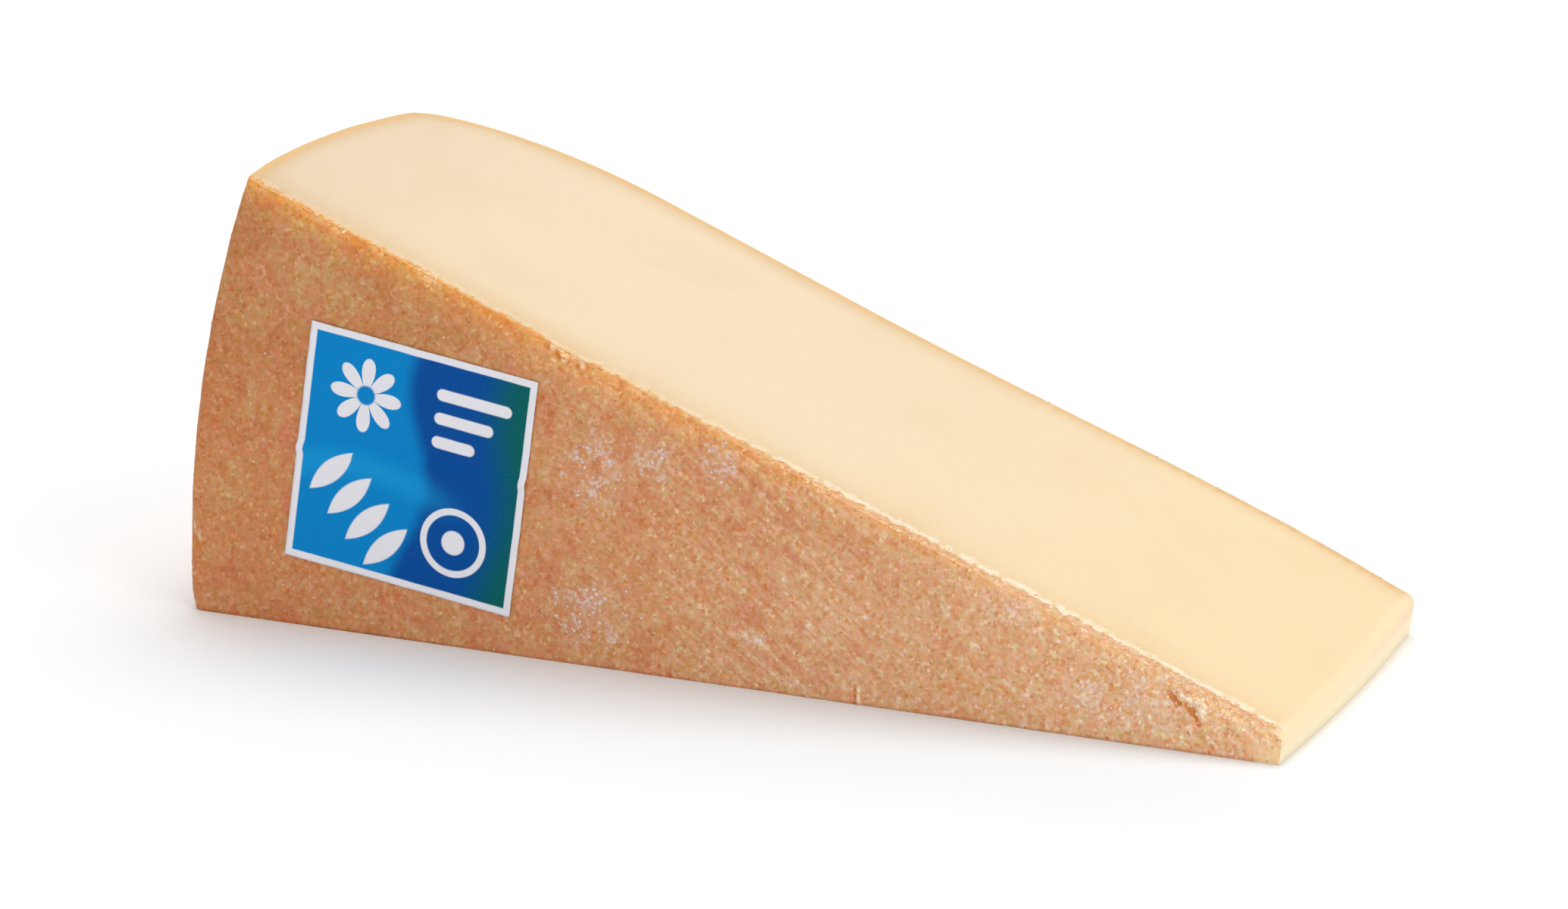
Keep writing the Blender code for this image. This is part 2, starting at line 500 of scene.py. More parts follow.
@dataclass(frozen=True)
class Wheel:
    """The round wheel that the wedge was cut from, and the knife cuts."""

    radius: float = 254.5 * MM
    thickness: float = 83.2 * MM
    slice_angle: float = math.radians(21.25)
    belly_depth: float = 15 * MM
    rim_arc_radius: float = 172 * MM
    rim_drift: float = 3.5 * MM
    foot_wear: float = 0.7 * MM
    foot_share: float = 1 / 25
    corner_radius: float = 1.8 * MM
    shoulder_depth: float = 62 * MM
    shoulder_reach: float = 49.7 * MM
    shoulder_rim_pull: float = 8.0 * MM
    shoulder_side_pull: float = 26.1 * MM
    crown_height: float = 4.2 * MM
    crown_radius: float = 54 * MM
    crown_outer_reach: float = 95 * MM
    crown_inner_reach: float = 60 * MM
    tip_near: float = 15.2 * MM
    tip_far: float = 21.2 * MM
    tip_bow: float = 1.35 * MM
    tip_lean: float = math.radians(9.0)
    corner_points: int = 24
    rim_points: int = 120
    shoulder_points: int = 160

    @property
    def axis_x(self) -> float:
        """Where the wheel's axis stands along X.

        Returns:
            The place that brings the origin under the middle of the wedge.
        """
        tip_height = self.tip_near * math.tan(self.slice_angle)
        tip_x = -(self.tip_near - tip_height * math.tan(self.tip_lean))
        return ((self.radius - self.rim_drift) - tip_x) / 2

    @property
    def near_y(self) -> float:
        """Where the labelled side stands along Y."""
        return -(self.thickness + self.crown_height) / 2

    def far_side(self, radius: np.ndarray) -> np.ndarray:
        """The far side, which swells a little near the middle of the wheel.

        Args:
            radius: how far from the axis each point is.

        Returns:
            How deep the far side lies there.
        """
        reach = np.where(radius > self.crown_radius, self.crown_outer_reach, self.crown_inner_reach)
        away = np.minimum(np.abs(radius - self.crown_radius) / reach, 1.0)
        return self.thickness + self.crown_height * 0.5 * (1 + np.cos(np.pi * away))

    def rim(self, depth: np.ndarray) -> np.ndarray:
        """The rim's distance from the axis at each depth."""
        return self.radius - (depth - self.belly_depth) ** 2 / (2 * self.rim_arc_radius)

    def kept_radius(self, radius: np.ndarray, share: np.ndarray) -> np.ndarray:
        """What is left of each radius once the lower rim has drifted in and the foot has worn."""
        wear = self.rim_drift * (1 - share) + self.foot_wear * np.maximum(1 - share / self.foot_share, 0)
        return radius * (1 - wear * (radius / self.radius) ** 3 / self.radius)

    def outer_curve(self, shares: np.ndarray) -> np.ndarray:
        """The section's outer line, from the near corner over the rim and the round shoulder.

        Args:
            shares: how far along the line each point lies, from 0 to 1.

        Returns:
            A radius and a depth for each share.
        """
        turn = np.linspace(0, math.pi / 2, self.corner_points)
        middle = float(self.rim(np.array(self.corner_radius))) - self.corner_radius
        corner = np.stack(
            (middle + self.corner_radius * np.sin(turn), self.corner_radius * (1 - np.cos(turn))), 1
        )
        depth = np.linspace(self.corner_radius, self.shoulder_depth, self.rim_points)[1:]
        rim = np.stack((self.rim(depth), depth), 1)
        start = float(self.rim(np.array(self.shoulder_depth)))
        slope = (self.shoulder_depth - self.belly_depth) / self.rim_arc_radius
        end = start - self.shoulder_reach
        knots = np.array(
            (
                (start, self.shoulder_depth),
                (start - slope * self.shoulder_rim_pull, self.shoulder_depth + self.shoulder_rim_pull),
                (end + self.shoulder_side_pull, self.thickness),
                (end, self.thickness),
            )
        )
        t = np.linspace(0, 1, self.shoulder_points)[1:, None]
        weights = ((1 - t) ** 3, 3 * (1 - t) ** 2 * t, 3 * (1 - t) * t**2, t**3)
        shoulder = sum(weight * knot for weight, knot in zip(weights, knots))
        line = np.concatenate((corner, rim, shoulder))
        steps = np.linalg.norm(np.diff(line, axis=0), axis=1)
        run = np.concatenate(((0.0,), np.cumsum(steps))) / steps.sum()
        return np.stack([np.interp(shares, run, line[:, axis]) for axis in range(2)], -1)

    def tip_radius(self, depth_share: np.ndarray, angle: np.ndarray) -> np.ndarray:
        """How far from the axis the thin end's cut lies.

        Args:
            depth_share: how far across the thickness each point is, from 0 to 1.
            angle: how far up from the foot it is.

        Returns:
            The radius of the cut at each point.
        """
        bow = 4 * self.tip_bow * depth_share * (1 - depth_share)
        at_foot = self.tip_near + (self.tip_far - self.tip_near) * depth_share - bow
        return at_foot / (np.cos(angle) + np.sin(angle) * math.tan(self.tip_lean))

    def below_top(self, x: Field, z: Field) -> Field:
        """How far a point lies below the top cut face."""
        return (self.axis_x - x) * math.sin(self.slice_angle) - z * math.cos(self.slice_angle)


def ragged(run: np.ndarray, spacing: float, seed: int) -> np.ndarray:
    """An uneven line.

    Args:
        run: where along the line each value is wanted, in metres.
        spacing: how far apart its knots are, in metres.
        seed: which line of its kind it is.

    Returns:
        A value from 0 to 1 for each place.
    """
    knots = np.random.default_rng(seed).random(LINE_KNOTS)
    return np.interp(run / spacing + LINE_KNOTS / 2, np.arange(LINE_KNOTS), knots)


def eased(value: np.ndarray) -> np.ndarray:
    """Eases from 0 to 1 as the value does."""
    held = np.clip(value, 0, 1)
    return held * held * (3 - 2 * held)


def lumpy(x: np.ndarray, z: np.ndarray, spacing: float, seed: int) -> np.ndarray:
    """An uneven height over a side.

    Args:
        x, z: where each value is wanted, in metres.
        spacing: how far apart the lumps are, in metres.
        seed: which side of its kind it is.

    Returns:
        A value from 0 to 1 for each place.
    """
    knots = np.random.default_rng(seed).random((SIDE_KNOTS, SIDE_KNOTS))
    u, v = (x / spacing) % (SIDE_KNOTS - 1), (z / spacing) % (SIDE_KNOTS - 1)
    i, j = u.astype(int), v.astype(int)
    right, up = eased(u - i), eased(v - j)
    low = knots[i, j] * (1 - right) + knots[i + 1, j] * right
    high = knots[i, j + 1] * (1 - right) + knots[i + 1, j + 1] * right
    return low * (1 - up) + high * up


def rounded(first: np.ndarray, second: np.ndarray, reach: float) -> tuple[np.ndarray, np.ndarray]:
    """Rounds the edge between two sides.

    Args:
        first, second: how far each point lies from the first and from the second side.
        reach: the round's radius.

    Returns:
        How far each point moves away from the first and from the second side.
    """
    a, b = np.clip(1 - first / reach, 0, 1), np.clip(1 - second / reach, 0, 1)
    larger = np.maximum(a, b)
    turn = np.minimum(a, b) / np.maximum(larger, 1e-9) * math.pi / 4
    long, short = larger * np.cos(turn), larger * np.sin(turn)
    is_first = a >= b
    return reach * (a - np.where(is_first, long, short)), reach * (b - np.where(is_first, short, long))


@dataclass(frozen=True)
class Crack:
    """A break in the rind along a line of points given as (x, z), in millimetres like its other sizes."""

    line: tuple[tuple[float, float], ...]
    half_width: float
    depth: float
    raggedness: float = 0.9
    unevenness: float = 0.5

    def away(self, x: np.ndarray, z: np.ndarray) -> np.ndarray:
        """The distance from the line, made uneven.

        Args:
            x, z: where each point is, in metres.

        Returns:
            How far from the line it counts as, in metres.
        """
        nearest = np.full(x.shape, 1.0)
        for (x0, z0), (x1, z1) in zip(self.line, self.line[1:]):
            dx, dz = (x1 - x0) * MM, (z1 - z0) * MM
            share = ((x - x0 * MM) * dx + (z - z0 * MM) * dz) / (dx * dx + dz * dz)
            share = np.clip(share, 0, 1)
            nearest = np.minimum(nearest, np.hypot(x - x0 * MM - share * dx, z - z0 * MM - share * dz))
        wobble = lumpy(x, z, 0.7 * MM, 7) + lumpy(x, z, 1.5 * MM, 8) - 1.0
        return nearest + self.raggedness * self.half_width * MM * wobble

    def share(self, x: np.ndarray, z: np.ndarray) -> np.ndarray:
        """How much of the break each point has, from 0 to 1."""
        whole = eased(1 - self.away(x, z) / (self.half_width * MM))
        return whole * (1 - self.unevenness * lumpy(x, z, 0.9 * MM, 9))


@dataclass(frozen=True)
class RindBreaks:
    """Chips, cracks and flakes in the labelled side, as they show on the real rind."""

    grooves: tuple[Crack, ...] = (
        Crack(((94.9, 11.6), (95.6, 10.4)), 0.9, 0.7),
        Crack(((96.2, 9.8), (99.0, 8.5)), 1.2, 0.7),
        Crack(((99.2, 8.8), (100.7, 6.2)), 0.9, 0.8),
        Crack(((100.7, 6.2), (101.3, 3.6)), 0.6, 0.16),
        Crack(((94.4, 8.8), (96.2, 7.6)), 0.9, 0.2),
        Crack(((103.2, 2.4), (103.9, 1.2)), 0.6, 0.3),
        Crack(((106.2, 8.6), (106.6, 6.9)), 0.5, 0.3),
        Crack(((27.9, 0.0), (28.0, 3.3)), 0.5, 0.5, 0.5, 0.4),
        Crack(((-14.9, 35.3), (-9.0, 31.6), (-1.5, 25.8)), 0.5, 0.14),
        Crack(((-22.7, 20.9), (-18.6, 17.6), (-14.3, 13.2)), 0.5, 0.14),
        Crack(((-117.2, 14.9), (-116.0, 13.6)), 1.1, 0.8, 0.2, 0.1),
        Crack(((-36.2, 65.2), (-36.25, 63.0)), 0.55, 0.6, 0.3, 0.1),
        Crack(((-35.5, 63.3), (-35.45, 60.8)), 0.5, 0.5, 0.3, 0.1),
        Crack(((-31.5, 63.4), (-31.5, 60.8)), 0.6, 0.6, 0.3, 0.1),
        Crack(((-29.5, 62.9), (-29.5, 61.4)), 0.45, 0.4, 0.3, 0.1),
        Crack(((-38.0, 65.4), (-38.1, 63.4)), 0.45, 0.35, 0.3, 0.1),
        Crack(((-33.6, 64.2), (-33.5, 62.6)), 0.4, 0.3, 0.3, 0.1),
    )
    flakes: tuple[Crack, ...] = (
        Crack(((101.7, 10.0), (101.5, 7.3)), 0.95, 0.8, 0.6, 0.3),
        Crack(((96.9, 11.5), (99.4, 10.7), (101.2, 10.3)), 0.65, 0.35),
        Crack(((99.0, 5.4), (99.2, 4.0)), 0.5, 0.3),
        Crack(((98.0, 2.3), (98.1, 1.5)), 0.5, 0.25),
        Crack(((102.7, 3.8), (102.9, 2.6)), 0.5, 0.3),
        Crack(((92.5, 14.3), (92.6, 13.4)), 0.45, 0.2),
        Crack(((28.8, 0.4), (28.75, 3.2)), 0.52, 0.3, 0.6, 0.4),
        Crack(((4.3, 11.2), (6.0, 10.2), (7.8, 10.0)), 0.4, 0.17),
        Crack(((-116.9, 18.4), (-116.2, 16.9), (-115.0, 14.6)), 0.55, 0.12, 0.2, 0.1),
        Crack(((-37.0, 65.6), (-36.9, 62.4)), 0.32, 0.16, 0.4, 0.2),
        Crack(((-34.7, 64.9), (-34.6, 62.2)), 0.36, 0.18, 0.4, 0.2),
        Crack(((-30.6, 63.4), (-30.6, 61.0)), 0.34, 0.16, 0.4, 0.2),
    )
    tear_x: float = -33.4 * MM
    tear_half_length: float = 5.6 * MM
    crumble_x: tuple[float, float] = (84 * MM, 94 * MM)
    bite_height: float = 1.5 * MM

    def edge_bite(self, x: np.ndarray) -> np.ndarray:
        """The small bites in the top edge.

        Args:
            x: where along the edge each point is.

        Returns:
            How far the edge is eaten back there, in metres.
        """
        start, full = self.crumble_x
        crumble = eased((x - start) / (full - start))
        tear = eased(1 - np.abs(x - self.tear_x) / self.tear_half_length)
        coarse = ragged(x, 1.5 * MM, 3) ** 2
        fine = ragged(x, 0.55 * MM, 4)
        worn = 0.3 * ragged(x, 3.1 * MM, 5) ** 2 + 0.2 * ragged(x, 1.3 * MM, 6)
        broken = crumble * (0.6 * coarse + 0.35 * fine) + tear * (0.2 + 0.4 * coarse + 0.5 * fine)
        return MM * (worn + broken)

    def push(self, x: np.ndarray, z: np.ndarray, below: np.ndarray) -> tuple[np.ndarray, np.ndarray]:
        """How the labelled side is pushed in and out.

        Args:
            x, z: each point's place along and up the side.
            below: how far it lies below the top cut face.

        Returns:
            How far each point goes in, and how far it comes out.
        """
        inward = self.edge_bite(x) * eased(1 - below / self.bite_height)
        for groove in self.grooves:
            inward = np.maximum(inward, groove.depth * MM * groove.share(x, z))
        outward = np.zeros(x.shape)
        for flake in self.flakes:
            outward = np.maximum(outward, flake.depth * MM * flake.share(x, z))
        return inward, outward


@dataclass
class CheeseWedge:
    """The slice itself: its shape, its breaks and its two finishes."""

    wheel: Wheel
    breaks: RindBreaks
    column_step: float = 1.0 * MM
    fine_step: float = 0.28 * MM
    fine_stretches: tuple[tuple[float, float], ...] = (
        (-119 * MM, -113 * MM), (-39 * MM, -28 * MM), (27 * MM, 31 * MM), (92 * MM, 107 * MM)
    )
    depth_steps: int = 44
    corner_steps: int = 6
    corner_share: float = 0.024
    foot_rows: int = 4
    foot_share: float = 0.02
    side_rows: int = 42
    edge_rows: int = 22
    edge_share: float = 0.92
    edge_strip: float = 0.3 * MM
    edge_round: float = 0.12 * MM
    tip_steps: tuple[float, ...] = (0.0, 0.12 * MM, 0.27 * MM, 0.45 * MM, 0.7 * MM, 1.0 * MM, 1.35 * MM)
    tip_round: float = 1.3 * MM
    bite_reach: float = 4 * MM
    bared_height: float = 2.4 * MM
    bared_reach: float = 1.6 * MM
    bite_drop: float = 0.6
    full_groove: float = 0.3 * MM
    full_bite: float = 0.6 * MM
    full_flake: float = 0.2 * MM
    probe: float = 0.0005
    past_corner: float = 0.02
    rind_points: int = 240
    side_points: int = 60
    sharp_angle: float = math.radians(52)
    wave_height: float = 0.5 * MM
    lump_height: float = 0.28 * MM
    grain_height: float = 0.22 * MM

    def columns(self) -> np.ndarray:
        """The mesh's columns, closer together where the rind is broken.

        Returns:
            Shares along the wedge, from the thin end to the rim.
        """
        wheel = self.wheel
        inner = wheel.tip_near
        outer = float(wheel.outer_curve(np.array(0.0))[0])
        stops = [inner + step for step in self.tip_steps]
        while stops[-1] < outer - self.edge_strip:
            x = wheel.axis_x - stops[-1]
            fine = any(low <= x <= high for low, high in self.fine_stretches)
            stops.append(stops[-1] + (self.fine_step if fine else self.column_step))
        shares = (np.array(stops) - inner) / (outer - inner)
        return np.append(shares[shares < 1 - self.edge_strip / outer], 1.0)

    def depths(self) -> np.ndarray:
        """The mesh's steps in depth, closer together at the two rind sides.

        Returns:
            Shares across the thickness.
        """
        corner = np.linspace(0, self.corner_share, self.corner_steps)
        strip = self.edge_strip / self.wheel.thickness
        middle = np.linspace(self.corner_share, 1 - strip, self.depth_steps)[1:]
        return np.concatenate(((0.0, strip), corner[1:], middle, (1.0,)))

    def rows(self) -> np.ndarray:
        """The mesh's rows, closer together at the foot and at the top edge.

        Returns:
            Shares of the slice's angle, from the foot up.
        """
        foot = np.linspace(0, self.foot_share, self.foot_rows, endpoint=False)
        side = np.linspace(self.foot_share, self.edge_share, self.side_rows, endpoint=False)
        edge = np.linspace(self.edge_share, 1, self.edge_rows)
        return np.concatenate((foot, side, edge))

    def slab(self) -> bpy.types.Mesh:
        """The slice before it is rolled up: radius along X, depth along Y, share of the angle along Z.

        Returns:
            A closed mesh with what the roll needs kept on its points and faces.
        """
        wheel = self.wheel
        columns, depths, rows = self.columns(), self.depths(), self.rows()
        last = (len(columns) - 1, len(depths) - 1, len(rows) - 1)
        number = np.full((len(columns), len(depths), len(rows)), -1)
        skin = np.ones(number.shape, bool)
        skin[1:-1, 1:-1, 1:-1] = False
        number[skin] = np.arange(skin.sum())
        i, j, k = np.nonzero(skin)
        outer = wheel.outer_curve(depths)[j]
        angle = rows[k] * wheel.slice_angle
        # depth across the thin end grows evenly from side to side
        tip = wheel.tip_radius(depths[j], angle)
        radius = tip + (outer[:, 0] - tip) * columns[i]
        flat = depths[j] * wheel.thickness * (1 - columns[i]) + outer[:, 1] * columns[i]
        depth = flat * wheel.far_side(radius) / wheel.thickness
        is_near, is_far, is_rim = j == 0, j == last[1], i == last[0]
        is_top, is_foot = k == last[2], k == 0
        on_rind = is_near | is_far | is_rim
        out = self.section_normals(depths, columns)[i, j] * on_rind[:, None]
        kept = wheel.kept_radius(radius, rows[k])
        x, z = wheel.axis_x - kept * np.cos(angle), kept * np.sin(angle)
        below = radius * np.sin(wheel.slice_angle - angle)
        inward, outward = self.breaks.push(x, z, below)
        bite = self.breaks.edge_bite(x)
        near = np.clip(1 - depth / self.bite_reach, 0, 1) ** 2
        on_side = is_near | (is_rim & (depth < wheel.corner_radius))
        push = np.where(on_side, inward - outward, 0.0)
        push = np.where(is_top & ~is_near, bite * near, push)
        bared = eased(1 - below / self.bared_height)
        bared_top = eased(1 - depth / self.bared_reach) * is_top
        drop = self.bite_drop * bite * np.where(is_near, bared, bared_top)
        rounding = (is_top | is_foot) & on_rind
        push = push + self.edge_round * rounding
        drop = drop + self.edge_round * (is_top & on_rind)
        from_tip = radius - tip
        off_tip, off_top = rounded(from_tip, below, self.tip_round)
        heights = rows[k] - (drop + off_top) / (radius * wheel.slice_angle)
        places = np.stack((radius + off_tip, depth, heights), 1)
        mesh = self.block_faces(number, places)
        self.keep(mesh, "rind_out", np.column_stack((out, np.zeros(len(out)))))
        self.keep(mesh, "push", push)
        self.keep(mesh, "top_cut", is_top.astype(float))
        grooved = np.maximum(inward - bite * eased(1 - below / self.breaks.bite_height), 0)
        self.keep(mesh, "broken", eased(grooved / self.full_groove) * on_side)
        self.keep(mesh, "bared", eased(bite * bared / self.full_bite) * is_near)
        self.keep(mesh, "lifted", eased(outward / self.full_flake) * on_side)
        self.keep(mesh, "rind_depth", self.rind_depth(radius, depth) * ~on_rind)
        self.keep(mesh, "tip_depth", from_tip)
        return mesh

    def section_normals(self, depths: np.ndarray, columns: np.ndarray) -> np.ndarray:
        """Which way the rind faces in the wheel's section.

        Args:
            depths: the shares across the thickness.
            columns: the shares along the wedge.

        Returns:
            A step along the radius and the depth for each column and depth.
        """
        wheel = self.wheel
        way = np.zeros((len(columns), len(depths), 2))
        ahead = wheel.outer_curve(np.minimum(depths + self.probe, 1))
        along = ahead - wheel.outer_curve(np.maximum(depths - self.probe, 0))
        rim = np.stack((along[:, 1], -along[:, 0]), 1)
        way[-1] = rim / np.linalg.norm(rim, axis=1)[:, None]
        way[:-1, 0] = (0.0, -1.0)
        way[:-1, -1] = (0.0, 1.0)
        return way

    def rind_depth(self, radius: np.ndarray, depth: np.ndarray) -> np.ndarray:
        """How far each point lies from the heel and the far side.

        Args:
            radius, depth: where each point is in the wheel's section.

        Returns:
            The distance, in metres.
        """
        line = self.wheel.outer_curve(np.linspace(self.past_corner, 1, self.rind_points))
        side = np.linspace(line[-1, 0], 0.0, self.side_points)
        line = np.concatenate((line, np.stack((side, self.wheel.far_side(side)), 1)))
        nearest = np.full(len(radius), 1.0)
        for point in line:
            nearest = np.minimum(nearest, np.hypot(radius - point[0], depth - point[1]))
        return nearest

    @staticmethod
    def keep(mesh: bpy.types.Mesh, name: str, values: np.ndarray) -> None:
        """Keeps a number or a direction on each point of a mesh.

        Args:
            mesh: the mesh.
            name: the attribute's name.
            values: one number, or three, for each point.
        """
        kind = "FLOAT" if values.ndim == 1 else "FLOAT_VECTOR"
        kept = mesh.attributes.new(name, kind, "POINT")
        kept.data.foreach_set("value" if values.ndim == 1 else "vector", values.astype(np.float32).ravel())

    @staticmethod
    def block_faces(number: np.ndarray, places: np.ndarray) -> bpy.types.Mesh:
        """The six sides of the block as one closed mesh.

        Args:
            number: the number of the point at each column, depth and row of the block's skin.
            places: where each numbered point is.

        Returns:
            The mesh, with its cut faces marked.
        """
        quads, cuts = [], []
        sides = (
            (number[0], False, True),
            (number[-1], True, False),
            (number[:, 0], True, False),
            (number[:, -1], False, False),
            (number[:, :, 0], False, True),
            (number[:, :, -1], True, True),
        )
        for grid, forward, is_cut in sides:
            ring = (grid[:-1, :-1], grid[1:, :-1], grid[1:, 1:], grid[:-1, 1:])
            ring = ring if forward else ring[::-1]
            side = np.stack([corner.ravel() for corner in ring], 1)
            quads.append(side)
            cuts.append(np.full(len(side), is_cut))
        faces = np.concatenate(quads)
        mesh = bpy.data.meshes.new("slab")
        mesh.from_pydata(places.tolist(), [], faces.tolist())
        marks = mesh.attributes.new("is_cut", "BOOLEAN", "FACE")
        marks.data.foreach_set("value", np.concatenate(cuts))
        return mesh

    def roll(self, dress: dict[str, bpy.types.Material]) -> ShapeSheet:
        """The tree that rolls the slab up about the wheel's axis and gives the rind its relief.

        Args:
            dress: materials by the name of the face attribute that selects them.

        Returns:
            The tree.
        """
        wheel = self.wheel
        sheet = ShapeSheet(
            "wheel_slice",
            {
                "Axis": wheel.axis_x,
                "Near side": wheel.near_y,
                "Wheel radius": wheel.radius,
                "Slice angle": wheel.slice_angle,
                "Rim drift": wheel.rim_drift,
                "Foot wear": wheel.foot_wear,
                "Wave height": self.wave_height,
                "Lump height": self.lump_height,
                "Grain height": self.grain_height,
            },
        )
        place = sheet.place()
        radius, depth, share = sheet.split(place)
        angle = share * sheet.size("Slice angle")
        cosine, sine = sheet.math("COSINE", angle), sheet.math("SINE", angle)
        worn = sheet.size("Foot wear") * sheet.largest(1.0 - share / wheel.foot_share, 0.0)
        wear = sheet.size("Rim drift") * (1.0 - share) + worn
        reach = radius / sheet.size("Wheel radius")
        kept = radius * (1.0 - wear * reach**3.0 / sheet.size("Wheel radius"))
        x = sheet.size("Axis") - kept * cosine
        rolled = sheet.joined(x, sheet.size("Near side") + depth, kept * sine)
        shape = sheet.step("GeometryNodeSetPosition", sheet.shape(), {"Position": rolled})
        out_radius, out_depth, _ = sheet.split(sheet.attribute_vector("rind_out"))
        moved = sheet.place()
        steady = self.rolled_angle(sheet, moved)
        turn_cos, turn_sin = sheet.math("COSINE", steady), sheet.math("SINE", steady)
        outwards = sheet.joined(out_radius * turn_cos * -1.0, out_depth, out_radius * turn_sin)
        waves = sheet.wobble(moved, 24 * MM, 1.0, sheet.size("Wave height"))
        lumps = sheet.wobble(moved, 6 * MM, 2.0, sheet.size("Lump height"))
        grains = sheet.wobble(moved, 2.2 * MM, 3.0, sheet.size("Grain height"))
        relief = self.along(sheet, outwards, waves + lumps + grains)
        off = sheet.vector("ADD", relief, self.inward(sheet, outwards))
        shape = sheet.step("GeometryNodeSetPosition", shape, {"Offset": off})
        sheet.close(shape, dress)
        return sheet

    def rolled_angle(self, sheet: ShapeSheet, place: Field) -> Field:
        """How far up round the wheel's axis a rolled point lies."""
        x, _, z = sheet.split(place)
        return sheet.math("ARCTAN2", z, sheet.size("Axis") - x)

    @staticmethod
    def along(sheet: ShapeSheet, way: Field, height: Field) -> Field:
        """A step along a direction.

        Args:
            sheet: the tree's sheet.
            way: the direction.
            height: how far the step goes.

        Returns:
            The step.
        """
        node = sheet.node("ShaderNodeVectorMath", operation="SCALE")
        sheet.feed(node, {"Vector": way, "Scale": height})
        return Field(sheet, node.outputs[0])

    def inward(self, sheet: ShapeSheet, outwards: Field) -> Field:
        """The step that digs the breaks.

        Args:
            sheet: the tree's sheet.
            outwards: which way the rind faces, or nothing on the top face.

        Returns:
            A step against that direction, and straight in on the top face.
        """
        push = sheet.attribute("push")
        on_rind = sheet.vector("LENGTH", outwards, output=1)
        dug = self.along(sheet, outwards, push * -1.0)
        slid = sheet.joined(0.0, push * (1.0 - on_rind), 0.0)
        return sheet.vector("ADD", dug, slid)

    def build(self, rind: RindFinish, paste: PasteFinish) -> bpy.types.Object:
        """Builds the wedge in the place of its solid.

        Args:
            rind: the finish of the three rind sides.
            paste: the finish of the cut faces.

        Returns:
            The finished piece.
        """
        slab = self.slab()
        tree = self.roll({"": rind.material(), "is_cut": paste.material()})
        wedge = tree.grow("wedge_body", slab)
        wedge.data.shade_smooth()
        wedge.data.set_sharp_from_angle(angle=self.sharp_angle)
        settle(wedge, "cheese", "cheese_wedge")
        return wedge


def settle(piece: bpy.types.Object, slot: str, *nodes: str) -> None:
    """Lets a piece ride on the body and stand for solids.

    Args:
        piece: the finished piece.
        slot: the record's material slot; not used.
        nodes: the solids that the piece stands for, if any.
    """
    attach(piece, BODY)
    if nodes:
        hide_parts(*nodes)


NEAR_Y = Wheel().near_y
# each cluster's middle along X and Z, half length and half height, in millimetres
BLOOM_SPOTS = (
    (-28.4, 40.6, 7.5, 8.5),
    (-15.4, 44.0, 5.5, 5.0),
    (-1.0, 45.2, 4.5, 6.0),
    (-29.0, 10.8, 9.5, 7.5),
    (61.5, 24.0, 9.0, 4.0),
    (77.0, 8.0, 6.0, 4.5),
    (92.0, 9.0, 8.0, 6.0),
    (6.0, 10.6, 3.5, 1.8),
)


def bloom_share(sheet: NodeSheet, x: Field, z: Field) -> Field:
    """How thick the bloom is on the labelled side.

    Args:
        sheet: the sheet of the tree or material.
        x, z: where a point is.

    Returns:
        1 in the middle of each cluster, 0 outside them.
    """
    spots = []
    for middle_x, middle_z, half_length, half_height in BLOOM_SPOTS:
        right = (x - middle_x * MM) / (half_length * MM)
        up = (z - middle_z * MM) / (half_height * MM)
        spots.append(sheet.length(right, up).rise(1.25, 0.35))
    return sheet.largest(*spots)


WRAP_X = (-90 * MM, 100 * MM)
WRAP_AT_HEEL = 0.5 * MM
WRAP_GAIN = 2.7 * MM


def wrap_width(x: Field) -> Field:
    """How far the labelled side's rind reaches over the top edge: more toward the thin end."""
    return x.rise(*WRAP_X) * WRAP_GAIN + WRAP_AT_HEEL


